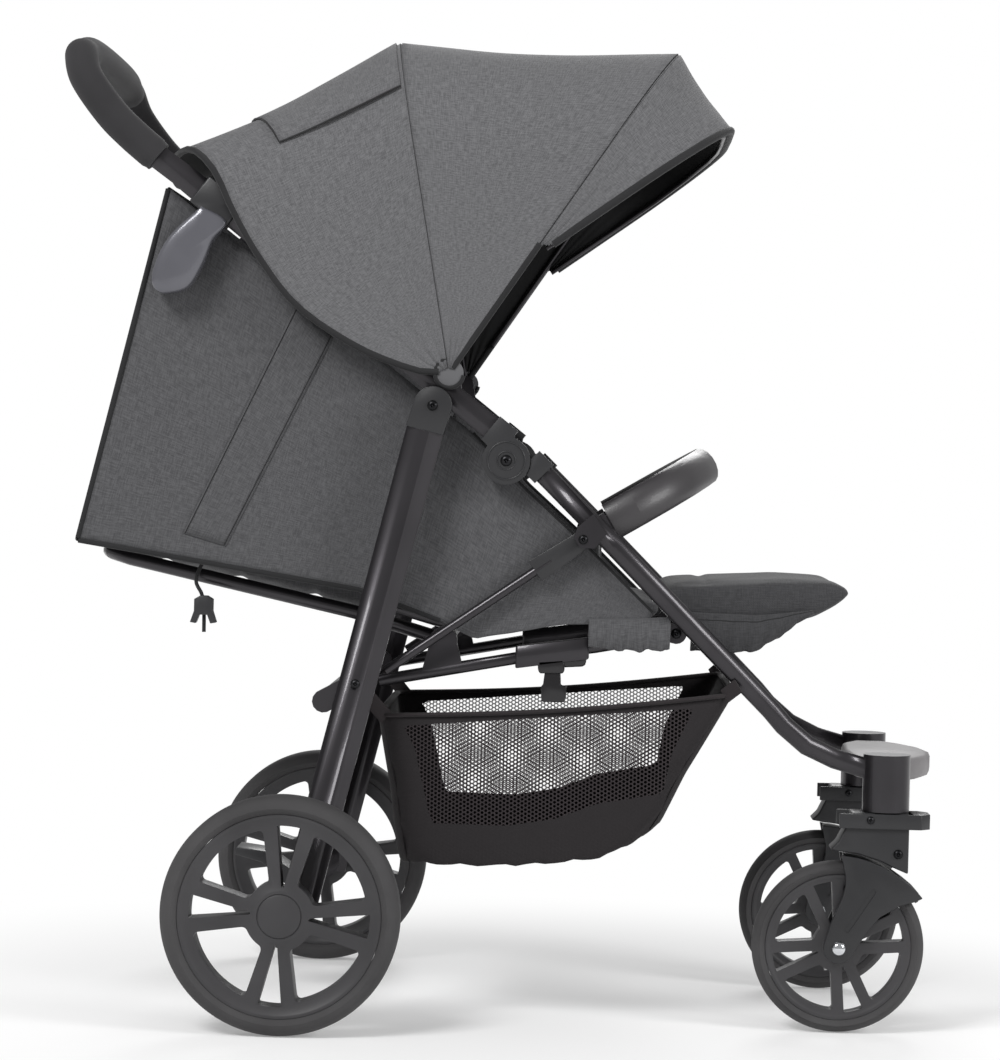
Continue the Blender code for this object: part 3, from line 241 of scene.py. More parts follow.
def linear(code: str) -> tuple[float, float, float, float]:
    """Turn an sRGB hex colour into linear RGBA.

    Args:
        code: Six hex digits after a hash sign.

    Returns:
        Linear red, green, blue and an alpha of one.
    """
    parts = [int(code[i : i + 2], 16) / 255 for i in (1, 3, 5)]
    return (*[c / 12.92 if c <= 0.04045 else ((c + 0.055) / 1.055) ** 2.4 for c in parts], 1.0)


def add(tree: Tree, kind: str, links: dict | None = None, **settings: object) -> Node:
    """Add a node with its settings, socket values and links.

    Args:
        tree: The node tree that takes the node.
        kind: The node's type name without its ShaderNode prefix.
        links: Input socket to a value, or to another node's output socket.
        **settings: Properties of the node.

    Returns:
        The new node.
    """
    node = tree.nodes.new("ShaderNode" + kind)
    for key, value in settings.items():
        setattr(node, key, value)
    for socket, value in (links or {}).items():
        if isinstance(value, bpy.types.NodeSocket):
            tree.links.new(value, node.inputs[socket])
        else:
            node.inputs[socket].default_value = value
    return node


def calc(tree: Tree, operation: str, first: object, second: object) -> bpy.types.NodeSocket:
    """Add a maths node on two sockets or values and return its result."""
    return add(tree, "Math", {0: first, 1: second}, operation=operation).outputs[0]


@dataclass(frozen=True)
class Finish:
    """A surface with a little mottling and a fine relief of its own grain.

    Attributes:
        name: The material's name.
        dark: Hex colour of the grain's low places.
        light: Hex colour of its high places.
        roughness: Surface roughness.
        metallic: Zero for anything but metal.
        grain: Size of the grain in millimetres.
        relief: Strength of the grain's bump.
        sheen: Weight of the soft edge light on cloth and foam.
        coat: Weight of a clear coat.
    """

    name: str
    dark: str
    light: str
    roughness: float
    metallic: float = 0.0
    grain: float = 0.8
    relief: float = 0.05
    sheen: float = 0.0
    coat: float = 0.0

    def tint(self, tree: Tree, bsdf: Node, fac: bpy.types.NodeSocket, low: float, high: float) -> None:
        """Colour the surface from dark to light while a factor goes from low to high."""
        tone = add(tree, "ValToRGB", {"Fac": fac})
        for stop, place, code in zip(tone.color_ramp.elements, (low, high), (self.dark, self.light)):
            stop.position = place
            stop.color = linear(code)
        tree.links.new(tone.outputs["Color"], bsdf.inputs["Base Color"])

    def draw(self, tree: Tree, bsdf: Node) -> dict:
        """Colour the surface and return the inputs of its bump."""
        place = add(tree, "TexCoord").outputs["Object"]
        cloud = add(tree, "TexNoise", {"Vector": place, "Scale": 14.0, "Detail": 3.0})
        self.tint(tree, bsdf, cloud.outputs["Fac"], 0.35, 0.7)
        fine = add(tree, "TexNoise", {"Vector": place, "Scale": 1000 / self.grain, "Detail": 2.0})
        return {"Height": fine.outputs["Fac"], "Strength": self.relief, "Distance": RELIEF}

    def build(self) -> bpy.types.Material:
        """Return the material, made once."""
        if self.name in bpy.data.materials:
            return bpy.data.materials[self.name]
        made = bpy.data.materials.new(self.name)
        made.use_nodes = True
        tree = made.node_tree
        bsdf = tree.nodes["Principled BSDF"]
        values = {"Roughness": self.roughness, "Metallic": self.metallic, "Coat Weight": self.coat}
        values |= {"Sheen Weight": self.sheen, "Sheen Roughness": 0.5}
        for socket, value in values.items():
            bsdf.inputs[socket].default_value = value
        bump = add(tree, "Bump", self.draw(tree, bsdf))
        tree.links.new(bump.outputs["Normal"], bsdf.inputs["Normal"])
        return made


@dataclass(frozen=True)
class Woven(Finish):
    """A plain weave drawn on the cloth's own UV map, whose unit is a metre.

    Attributes:
        thread: Thread spacing in millimetres.
        depth: Strength of the weave's bump.
    """

    thread: float = 1.3
    depth: float = 0.25

    def waves(self) -> float:
        """Return the wave texture's scale for the thread spacing."""
        return 1000 / self.thread / 2 * math.pi / 10

    def draw(self, tree: Tree, bsdf: Node) -> dict:
        """Colour the surface and return the inputs of its bump."""
        cloth = add(tree, "UVMap", uv_map="metres").outputs["UV"]
        slubs = []
        for scale in ((1.0, 9.0, 1.0), (9.0, 1.0, 1.0)):
            drawn = add(tree, "Mapping", {"Vector": cloth, "Scale": scale}).outputs[0]
            slubs.append(add(tree, "TexNoise", {"Vector": drawn, "Scale": 90.0, "Detail": 4.0}).outputs["Fac"])
        self.tint(tree, bsdf, calc(tree, "MULTIPLY", calc(tree, "ADD", *slubs), 0.5), 0.40, 0.60)
        inputs = {"Vector": cloth, "Scale": self.waves(), "Distortion": 0.0}
        ribs = [add(tree, "TexWave", inputs, bands_direction=way).outputs["Fac"] for way in "XY"]
        return {"Height": calc(tree, "MAXIMUM", *ribs), "Strength": self.depth, "Distance": RELIEF}


@dataclass(frozen=True)
class Basketwork(Woven):
    """Basket cloth whose sides open into see-through mesh inside the window attribute.

    Attributes:
        holes: Height of the three waves below which the mesh is open.
    """

    holes: float = 0.9

    def draw(self, tree: Tree, bsdf: Node) -> dict:
        """Colour the surface, open its mesh and return the inputs of its bump."""
        cloth = add(tree, "UVMap", uv_map="metres").outputs["UV"]
        ribs = []
        for turn in (60, 120, 0):
            aim = add(tree, "Mapping", {"Vector": cloth, "Rotation": (0, 0, math.radians(turn))})
            wave_in = {"Vector": aim.outputs[0], "Scale": self.waves()}
            ribs.append(add(tree, "TexWave", wave_in).outputs["Fac"])
        net = calc(tree, "MAXIMUM", calc(tree, "MAXIMUM", ribs[0], ribs[1]), ribs[2])
        strand = calc(tree, "GREATER_THAN", net, self.holes)
        window = add(tree, "Attribute", attribute_name="window").outputs["Fac"]
        solid = calc(tree, "LESS_THAN", window, 0.0)
        tree.links.new(calc(tree, "MAXIMUM", strand, solid), bsdf.inputs["Alpha"])
        colours = []
        for code in (self.light, self.dark):
            colours.append(add(tree, "RGB").outputs[0])
            colours[-1].default_value = linear(code)
        tone = add(tree, "Mix", {"Factor": solid, "A": colours[0], "B": colours[1]}, data_type="RGBA")
        tree.links.new(tone.outputs[2], bsdf.inputs["Base Color"])
        return {"Height": net, "Strength": self.depth, "Distance": 0.0005}


class Look(Enum):
    """Every finish on the chair."""

    # Powder-coated steel tube: satin, with the faint orange peel of the coat.
    TUBE = Finish("powder_coated_tube", "#343235", "#3b393c", 0.33, 0.75, 1.2, 0.03, coat=0.25)
    # Moulded glass-filled nylon: matt, with a spark-eroded grain.
    NYLON = Finish("moulded_nylon", "#1f1f21", "#272729", 0.40, 0.0, 0.7, 0.10)
    # Foam-filled EVA tread: dry and slightly dusty.
    TREAD = Finish("eva_tread", "#373637", "#424142", 0.82, 0.0, 1.0, 0.20)
    RIM = Finish("moulded_rim", "#2e2d2f", "#39383a", 0.46, 0.0, 0.8, 0.10)
    FOAM = Finish("closed_cell_foam", "#242325", "#2b2a2c", 0.95, 0.0, 0.6, 0.30, sheen=0.05)
    SKIN = Finish("leatherette_skin", "#302e30", "#393739", 0.42, 0.0, 1.1, 0.20, coat=0.05)
    PALE = Finish("pale_footplate", "#6f6d6e", "#858283", 0.55, 0.0, 0.9, 0.10)
    DOME = Finish("chromed_cap", "#c9cbce", "#dddfe2", 0.12, 1.0, 1.0, 0.0)
    SCREW = Finish("black_zinc_screw", "#1c1c1e", "#2a2a2c", 0.35, 0.8, 0.6, 0.05)
    BINDING = Finish("binding_tape", "#0f0f11", "#171719", 0.85, 0.0, 0.8, 0.35, sheen=0.1)
    # The hood's inner face: near-black, painted shade of the hollow under the hood.
    LINING = Finish("canopy_inside_painted_shade", "#101011", "#171718", 0.95, 0.0, 0.8, 0.2)
    # Hanger paddles: a grey lighter than the other nylon, partly the paddle's own tone and partly a painted highlight
    # of its gloss.
    SATIN = Finish("satin_nylon_with_painted_highlight", "#5a5a60", "#626268", 0.25, 0.35, 0.7, 0.04, coat=0.3)
    GLOSS = Finish("polished_nylon", "#161517", "#1d1b1d", 0.20, 0.0, 0.8, 0.04)
    CANVAS = Woven("melange_canvas", "#4d4d4f", "#666668", 0.93, grain=1.0, sheen=0.12)
    SEAT = Woven("seat_canvas", "#3f3f41", "#535355", 0.93, grain=1.0, sheen=0.1)
    PAD = Woven("calf_canvas", "#2d2d2f", "#3b3b3d", 0.93, grain=1.0, sheen=0.1)
    BASKET = Basketwork("basket_net", "#1b1719", "#2a2426", 0.88, thread=1.9, holes=0.90, depth=0.3)
    HEM = Woven("basket_cloth", "#1b1719", "#272123", 0.9, grain=1.0, sheen=0.05)


def link(name: str, data: bpy.types.ID) -> Thing:
    """Put a mesh, a curve, a lamp or a camera in the scene as an object at the origin."""
    made = bpy.data.objects.new(name, data)
    bpy.context.scene.collection.objects.link(made)
    return made


def mesh_object(name: str, solid: bmesh.types.BMesh, look: Look) -> Thing:
    """Put a bmesh in the scene as a smooth object with one finish.

    Args:
        name: The piece's name.
        solid: The mesh, which is freed.
        look: Its finish.

    Returns:
        The new object, at the origin.
    """
    mesh = bpy.data.meshes.new(name)
    solid.to_mesh(mesh)
    solid.free()
    mesh.materials.append(look.value.build())
    mesh.shade_smooth()
    return link(name, mesh)


def select(thing: Thing) -> None:
    """Make one object the only selected one, and the active one."""
    bpy.ops.object.select_all(action="DESELECT")
    thing.select_set(True)
    bpy.context.view_layer.objects.active = thing


def apply(thing: Thing, kind: str, **settings: object) -> None:
    """Add a modifier with settings to an object and apply it.

    Args:
        thing: The object.
        kind: The modifier's type.
        **settings: Its properties.
    """
    step = thing.modifiers.new(kind.lower(), kind)
    for key, value in settings.items():
        setattr(step, key, value)
    select(thing)
    bpy.ops.object.modifier_apply(modifier=step.name)


def settle(thing: Thing, body: str, slot: str, *nodes: str) -> Thing:
    """Let a piece ride on a body, take a slot and stand for CAD nodes.

    Args:
        thing: The finished piece.
        body: The body it moves with.
        slot: The record's material slot.
        *nodes: The CAD nodes it replaces.

    Returns:
        The same piece.
    """
    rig.ride(thing, body)
    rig.slot(thing, slot)
    if nodes:
        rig.replaces(thing, *nodes)
    LOG.info("%s rides on %s", thing.name, body)
    return thing


def mix(a: Point, b: Point, t: float) -> Point:
    """Blend two points."""
    return tuple(p + (q - p) * t for p, q in zip(a, b))


def along(start: Flat, angle: float, length: float) -> Flat:
    """Return the side-view point at a length and direction, in radians, from another."""
    return (start[0] + length * math.cos(angle), start[1] + length * math.sin(angle))


def smooth_line(points: list[Point], steps: int) -> list[Point]:
    """Round a line of points with a Catmull-Rom curve.

    Args:
        points: The points it passes through.
        steps: New points for each stretch.

    Returns:
        The finer line.
    """
    ends = [points[0], *points, points[-1]]
    fine = []
    for i in range(len(points) - 1):
        a, b, c, d = (Vector(p) for p in ends[i : i + 4])
        for j in range(steps):
            t = j / steps
            square = (2 * a - 5 * b + 4 * c - d) * t * t
            fine.append(tuple(0.5 * (2 * b + (c - a) * t + square + (3 * b - a - 3 * c + d) * t**3)))
    return fine + [tuple(points[-1])]


def runs(line: list[Point]) -> list[float]:
    """Return the length of a line up to each of its points."""
    return [0.0, *itertools.accumulate(math.dist(p, q) for p, q in zip(line, line[1:]))]


def weave(rows: int, columns: int, spot: Callable[[float, float], Point]) -> Rows:
    """Return rows of points from the place of a cloth at a share down and a share across it."""
    return [[spot(i / rows, j / columns) for j in range(columns + 1)] for i in range(rows + 1)]


def loft(name: str, rows: Rows, look: Look, closed: bool = False) -> Thing:
    """Skin rows of points, with a UV map in metres.

    Args:
        name: The piece's name.
        rows: Rows of equally many points.
        look: The finish.
        closed: Whether each row closes on itself.

    Returns:
        The open sheet as an object.
    """
    solid = bmesh.new()
    uv = solid.loops.layers.uv.new("metres")
    wide = len(rows[0])
    grid = [[solid.verts.new(p) for p in row] for row in rows]
    middle = rows[len(rows) // 2]
    across = runs([*middle, middle[0]])
    down = runs([row[wide // 2] for row in rows])
    for i in range(len(rows) - 1):
        for j in range(wide if closed else wide - 1):
            k = (j + 1) % wide
            face = solid.faces.new((grid[i][j], grid[i][k], grid[i + 1][k], grid[i + 1][j]))
            spots = ((j, i), (j + 1, i), (j + 1, i + 1), (j, i + 1))
            for loop, (a, b) in zip(face.loops, spots):
                loop[uv].uv = (across[a], down[b])
    return mesh_object(name, solid, look)


def tube(name: str, path: list[Point], across: float, up: float, look: Look, twist: str = "Z_UP",
         count: int = 12) -> Thing:
    """Sweep an oval section along a path and close its ends.

    Args:
        name: The piece's name.
        path: Centre line.
        across: Half the section's width across the chair.
        up: Half its height.
        look: The finish.
        twist: Blender's rule for the section's turn.
        count: Corners of the section.

    Returns:
        The tube as a mesh object at the origin.
    """
    turns = [2 * math.pi * i / count for i in range(count)]
    section = [(across * math.cos(turn), up * math.sin(turn), 0) for turn in turns]
    parts = []
    for part, points in (("section", section), (f"{name}_line", path)):
        curve = bpy.data.curves.new(part, "CURVE")
        line = curve.splines.new("POLY")
        line.points.add(len(points) - 1)
        for point, place in zip(line.points, points):
            point.co = (*place, 1)
        parts.append(link(part, curve))
    parts[0].data.splines[0].use_cyclic_u = True
    curve.dimensions = "3D"
    curve.twist_mode = twist
    curve.bevel_mode = "OBJECT"
    curve.bevel_object = parts[0]
    curve.use_fill_caps = True
    bpy.context.view_layer.update()
    graph = bpy.context.evaluated_depsgraph_get()
    mesh = bpy.data.meshes.new_from_object(parts[1].evaluated_get(graph))
    solid = bmesh.new()
    solid.from_mesh(mesh)
    bmesh.ops.remove_doubles(solid, verts=solid.verts, dist=0.00001)
    bmesh.ops.recalc_face_normals(solid, faces=solid.faces)
    for part in parts:
        bpy.data.objects.remove(part, do_unlink=True)
    made = mesh_object(name, solid, look)
    made.data.set_sharp_from_angle(angle=math.radians(50))
    return made


def piping(name: str, path: list[Point], radius: float, count: int = 12, look: Look = Look.BINDING) -> Thing:
    """Sweep a round cord along an edge or a seam, with a number of corners to its section."""
    return tube(name, path, radius, radius, look, "MINIMUM", count)


def sheet_uv(thing: Thing) -> None:
    """Give every loop a UV in metres from the two coordinates that its face lies along."""
    solid = bmesh.new()
    solid.from_mesh(thing.data)
    uv = solid.loops.layers.uv.get("metres") or solid.loops.layers.uv.new("metres")
    for face in solid.faces:
        steep = max(range(3), key=lambda k: abs(face.normal[k]))
        first, second = ((1, 2), (0, 2), (0, 1))[steep]
        for loop in face.loops:
            loop[uv].uv = (loop.vert.co[first], loop.vert.co[second])
    solid.to_mesh(thing.data)
    solid.free()


def inflate(start: Thing, most: float, voxel: float = 0.0055, last: int = 20) -> None:
    """Blow a shell up like a filled cushion and cap how far it moves.

    Args:
        start: The slightly smaller closed shape.
        most: Largest movement of a point in metres.
        voxel: Size of the simulated mesh.
        last: The simulation's last frame.
    """
    apply(start, "REMESH", mode="VOXEL", voxel_size=voxel)
    rest = [v.co.copy() for v in start.data.vertices]
    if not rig.quick():
        cloth = start.modifiers.new("cloth", "CLOTH")
        values = {"use_pressure": True, "uniform_pressure_force": 4.0, "quality": 5, "mass": 0.2}
        values |= {"tension_stiffness": 20, "compression_stiffness": 20, "bending_stiffness": 0.6}
        for key, value in values.items():
            setattr(cloth.settings, key, value)
        cloth.settings.effector_weights.gravity = 0.0
        cloth.point_cache.frame_end = last
        for number in range(1, last + 1):
            bpy.context.scene.frame_set(number)
        graph = bpy.context.evaluated_depsgraph_get()
        blown = bpy.data.meshes.new_from_object(start.evaluated_get(graph))
        start.modifiers.remove(cloth)
        for vertex, was, now in zip(start.data.vertices, rest, blown.vertices):
            step = now.co - was
            vertex.co = was + step * min(1.0, most / max(step.length, 1e-9))
        bpy.data.meshes.remove(blown)
        bpy.context.scene.frame_set(1)
    apply(start, "SMOOTH", factor=0.5, iterations=3)
    apply(start, "SUBSURF", levels=1, render_levels=1)
    start.data.shade_smooth()


def gap(here: Vector, a: Flat, b: Flat) -> float:
    """Return the distance from a flat point to the line between two others."""
    line = Vector(b) - Vector(a)
    t = min(max((here - Vector(a)).dot(line) / line.length_squared, 0.0), 1.0)
    return (here - Vector(a) - line * t).length


def pressed(thing: Thing, lines: list[tuple[Flat, Flat]], depth: float = 0.0022, wide: float = 0.006) -> None:
    """Press stitched channels into a cushion along straight lines.

    Args:
        thing: The cushion.
        lines: Ends of each line as (x, y) pairs.
        depth: Depth of a channel in metres.
        wide: Its width.
    """
    normals = [v.normal.copy() for v in thing.data.vertices]
    for vertex, normal in zip(thing.data.vertices, normals):
        here = Vector(vertex.co[:2])
        vertex.co -= normal * max(depth * math.exp(-((gap(here, a, b) / wide) ** 2)) for a, b in lines)


def shell(solid: bmesh.types.BMesh, rings: Rows, loop: bool = False) -> None:
    """Skin closed rings of points in a mesh, where a ring may also be one point.

    Args:
        solid: The mesh.
        rings: The rings.
        loop: Whether the last ring meets the first, or both ends are shut.
    """
    rings = [[solid.verts.new(p) for p in ring] for ring in rings]
    pairs = list(zip(rings, rings[1:]))
    if loop:
        pairs.append((rings[-1], rings[0]))
    else:
        for end in (rings[0], list(reversed(rings[-1]))):
            if len(end) > 1:
                solid.faces.new(end)
    for low, high in pairs:
        count = max(len(low), len(high))
        for i in range(count):
            j = (i + 1) % count
            if len(low) == 1:
                solid.faces.new((low[0], high[i], high[j]))
            elif len(high) == 1:
                solid.faces.new((low[j], low[i], high[0]))
            else:
                solid.faces.new((low[j], low[i], high[i], high[j]))
    bmesh.ops.recalc_face_normals(solid, faces=solid.faces)


def skin(name: str, rings: Rows, look: Look, sharp: float = 180, loop: bool = False) -> Thing:
    """Make a closed solid of rings of points.

    Args:
        name: The piece's name.
        rings: The rings.
        look: The finish.
        sharp: Angle in degrees from which its edges stay sharp.
        loop: Whether the last ring meets the first.

    Returns:
        The solid.
    """
    solid = bmesh.new()
    shell(solid, rings, loop)
    made = mesh_object(name, solid, look)
    if sharp < 180:
        made.data.set_sharp_from_angle(angle=math.radians(sharp))
    return made


def ring(at: Point, radius: float, out: float, count: int) -> list[Point]:
    """Return a circle about a line across the chair, or one point where its radius is zero."""
    turns = [2 * math.pi * i / count for i in range(count if radius else 1)]
    return [(at[0] + radius * math.cos(a), at[1] + out, at[2] + radius * math.sin(a)) for a in turns]


def prism(outline: list[Flat], half: float) -> Rows:
    """Return a side-view outline twice, at half a width to either side."""
    return [[(x, y, z) for x, z in outline] for y in (-half, half)]


def slab_shell(name: str, outline: list[Flat], half: float, look: Look, bevel: float,
               segments: int = 3) -> Thing:
    """Fill a side-view outline and give it a width across the chair, with round edges.

    Args:
        name: The piece's name.
        outline: Corners in (x, z).
        half: Half the width.
        look: The finish.
        bevel: Radius of the edges.
        segments: Steps of the round edge.

    Returns:
        The closed solid.
    """
    solid = bmesh.new()
    shell(solid, prism(outline, half))
    bmesh.ops.bevel(
        solid, geom=solid.edges[:], offset=bevel, segments=segments, profile=0.5, affect="EDGES"
    )
    return mesh_object(name, solid, look)


def dense_line(points: list[Flat], step: float) -> list[Flat]:
    """Put points on an open line at an even step."""
    fine = []
    for p, q in zip(points, points[1:]):
        count = max(1, round(math.dist(p, q) / step))
        fine += [mix(p, q, i / count) for i in range(count)]
    return fine + [points[-1]]


def height(line: list[Flat], x: float) -> float:
    """Return the height at x of a side-view line whose points run forwards."""
    for (a, b), (c, d) in zip(line, line[1:]):
        if x <= c + 1e-6:
            return b + (d - b) * max((x - a) / (c - a), 0.0)
    return line[-1][1]


def wave(seed: float, *values: float) -> float:
    """Return a smooth irregular wave between -1 and 1 of up to three values."""
    total = 0.0
    for i, value in enumerate(values):
        total += math.sin(value + seed * (i + 1)) + 0.5 * math.sin(2.3 * value + 1.7 * seed)
    return total / (1.5 * len(values))


def dome(name: str, at: Point, side: int, radius: float, look: Look) -> Thing:
    """Make a round-headed cap facing outwards.

    Args:
        name: The piece's name.
        at: Middle of its flat back.
        side: Which way it faces along Y.
        radius: Its radius.
        look: The finish.

    Returns:
        The cap.
    """
    profile = ((1, 0), (1, 0.12), (0.93, 0.34), (0.74, 0.55), (0.45, 0.68), (0.16, 0.73), (0, 0.735))
    rings = [ring(at, share * radius, side * rise * radius, 36) for share, rise in profile]
    return skin(name, rings, look, 60)


def cut(thing: Thing, tool: Thing) -> None:
    """Cut a tool out of a piece and delete the tool."""
    apply(thing, "BOOLEAN", operation="DIFFERENCE", solver="EXACT", object=tool)
    bpy.data.objects.remove(tool, do_unlink=True)


def screw(name: str, at: Point, side: int, radius: float) -> Thing:
    """Make a button-head screw with a hexagonal socket."""
    head = dome(name, at, side, radius, Look.SCREW)
    socket = [ring(at, 0.42 * radius, side * depth * radius, 6) for depth in (0.30, 0.9)]
    cut(head, skin("key", socket, Look.SCREW))
    return head


def cloth_sheet(name: str, rows: Rows, look: Look, thick: float) -> Thing:
    """Make a cloth of a given thickness about rows of points."""
    made = loft(name, rows, look)
    apply(made, "SOLIDIFY", thickness=thick, offset=0.0, use_even_offset=True)
    made.data.shade_smooth()
    return made


def declare(thing: Thing, rows: Rows, held: str, rests: tuple[str, ...], pieces: tuple[Thing, ...]) -> None:
    """Declare a cloth with the size that it was cut to.

    Args:
        thing: The cloth.
        rows: The rows of points that it was made from.
        held: How it is held.
        rests: What it hangs from.
        pieces: Its hems and stitches.
    """
    width = max(runs(row)[-1] for row in rows)
    length = max(runs(line)[-1] for line in zip(*rows))
    area = 0.0
    # A patch's area is half the cross product of its diagonals.
    for first, last in zip(rows, rows[1:]):
        for a, b, c, d in zip(first, first[1:], last[1:], last):
            area += (Vector(c) - Vector(a)).cross(Vector(d) - Vector(b)).length / 2
    area = min(max(area, LEAST * width * length), width * length)
    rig.sheet(thing, flat=(width, length), held=held, rests_on=rests, area=area, with_pieces=pieces)


@dataclass(frozen=True)
class Bow:
    """One hoop of the canopy, seen from the side as a straight line out of its pivot.

    Attributes:
        pivot: Side-view point that it turns about.
        turn: Its direction in radians.
        reach: Distance from the pivot to its top.
        half: Half its width across the chair.
        corner: Radius of its corners.
        fine: Steps along each stretch.
    """

    pivot: Flat
    turn: float
    reach: float
    half: float = 0.229
    corner: float = 0.13
    fine: int = 12

    def line(self, start: float, grow: float, shift: float = 0.0) -> list[Point]:
        """Return its line from the right foot over the top to the left foot.

        Args:
            start: Distance from the pivot where the line begins.
            grow: Distance outwards from the hoop's own line.
            shift: Distance ahead of the hoop's plane.

        Returns:
            The points of the line.
        """
        reach, half, top = self.reach + grow, self.half + grow, self.fine // 2
        side = [(start + (reach - self.corner - start) * i / self.fine, half) for i in range(self.fine)]
        for step in range(self.fine + 1):
            turn = math.pi / 2 * step / self.fine
            side.append(
                (reach - self.corner * (1 - math.sin(turn)), half - self.corner * (1 - math.cos(turn)))
            )
        flat = side[-1][1]
        side += [(reach + 0.001 * step / top, flat * (1 - step / top)) for step in range(1, top)]
        whole = [(r, -w) for r, w in side] + [(reach + 0.001, 0.0)] + side[::-1]
        made = []
        for r, w in whole:
            x, z = along(along(self.pivot, self.turn, r), self.turn - math.pi / 2, shift)
            made.append((x, w, z))
        return made


@dataclass
class Canopy:
    """The hood: three cloths sewn along the bows, bound at the brim and the lower edges.

    Attributes:
        rear: The rear bow.
        front: The front bow.
        visor: The visor's wire, which turns at the front bow.
        lift: Distance from a bow's middle line to the cloth.
        thick: Thickness of the cloth.
        sag: How far the cloth draws in between two bows.
        steps: Rows of a cloth between its two lines.
        count: Points of each line.
    """

    rear: Bow = Bow(PIVOT, math.radians(100.3), 0.355)
    front: Bow = Bow(PIVOT, math.radians(56.3), 0.414)
    visor: Bow = Bow(HINGE, math.atan2(BRIM[1] - HINGE[1], BRIM[0] - HINGE[0]), math.dist(HINGE, BRIM))
    lift: float = 0.0036
    thick: float = 0.0022
    sag: float = 0.007
    steps: int = 26
    count: int = 61

    def drawn(self, p: Point, q: Point, t: float, ripple: float) -> Point:
        """Return the point between two others, drawn in towards the hood's heart where the cloth is slack.

        Args:
            p: Point on the first line.
            q: Point on the second.
            t: Share of the way between them.
            ripple: How much further in it lies.

        Returns:
            The point.
        """
        heart = Vector((PIVOT[0], 0, PIVOT[1] + 0.06))
        spot = Vector(mix(p, q, t))
        pull = self.sag * math.sin(math.pi * t) * min(1.0, math.dist(p, q) / 0.25)
        return tuple(spot + (heart - spot).normalized() * (pull + ripple))

    def cloth(self, name: str, first: list[Point], last: list[Point], seed: float,
              body: tuple[str, str]) -> tuple[Thing, Rows]:
        """Stretch a cloth between two lines, drawn in a little and creased where it is slack.

        Args:
            name: The CAD node that it stands for.
            first: Its line on the first body.
            last: Its line on the second body.
            seed: Start of its creases.
            body: The two bodies that it joins.

        Returns:
            The cloth and its rows of points.
        """
        rows = []
        for i in range(self.steps + 1):
            t = i / self.steps
            row = []
            for j, (p, q) in enumerate(zip(first, last)):
                loose = 0.0018 * max(0.0, abs(2 * j / (self.count - 1) - 1) - 0.55)
                ripple = 0.0011 * wave(seed, 7 * t + 0.11 * j, 0.35 * j) + loose * math.sin(26 * t + seed)
                row.append(self.drawn(p, q, t, ripple * math.sin(math.pi * t)))
            rows.append(row)
        made = loft(name.replace("_panel", "_cloth"), rows, Look.CANVAS)
        weights = made.data.attributes.new("share", "FLOAT", "POINT")
        shares = [i // self.count / self.steps for i in range(len(made.data.vertices))]
        weights.data.foreach_set("value", shares)
        made.data.materials.clear()
        # The hood's inner face takes the near-black painted shade, the outer face the canvas.
        for look in (Look.LINING, Look.CANVAS):
            made.data.materials.append(look.value.build())
        apply(made, "SOLIDIFY", thickness=self.thick, offset=-1.0, use_even_offset=True, material_offset=1)
        made.data.shade_smooth()
        shares = [v.value for v in made.data.attributes["share"].data]
        made.data.attributes.remove(made.data.attributes["share"])
        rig.blend(made, *body, first[self.count // 2], last[self.count // 2])
        smooth = [t * t * (3 - 2 * t) for t in shares]
        made.data.attributes["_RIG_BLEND"].data.foreach_set("value", smooth)
        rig.slot(made, "canopy_cloth")
        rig.replaces(made, name)
        return made, rows

    def tape(self, name: str, line: list[Point], body: str, radius: float) -> None:
        """Sew a folded binding tape along a cloth's edge.

        Args:
            name: The piece's name.
            line: The edge.
            body: The body that holds the edge.
            radius: Half the tape's thickness.
        """
        settle(piping(name, line, radius), body, "canopy_cloth")

    def rear_edge(self) -> list[Point]:
        """Return the rear cloth's lower edge, from the right foot round the back to the left foot."""
        y = self.rear.half + self.lift
        side = [(-0.0700, y, 0.6850), (-0.0953, y, 0.6868), (-0.1531, y, 0.7082), (-0.2165, y, 0.7482)]
        side += [(-0.2573, y, 0.7970), (-0.2866, y, 0.8453), (-0.3080, y - 0.004, 0.8880)]
        side += [(-0.3350, 0.200, 0.9120), (-0.3600, 0.140, 0.9080), (-0.3700, 0.070, 0.8960)]
        edge = [(x, -w, z) for x, w, z in side] + [(-0.3730, 0.0, 0.8900)] + side[::-1]
        return smooth_line(edge, 6)

    def even(self, line: list[Point]) -> list[Point]:
        """Put the cloth's number of points on a line at an even step."""
        lengths = runs(line)
        made = []
        spot = 0
        for i in range(self.count):
            want = lengths[-1] * i / (self.count - 1)
            while spot < len(lengths) - 2 and lengths[spot + 1] < want:
                spot += 1
            t = (want - lengths[spot]) / max(lengths[spot + 1] - lengths[spot], 1e-9)
            made.append(mix(line[spot], line[spot + 1], min(t, 1.0)))
        return made

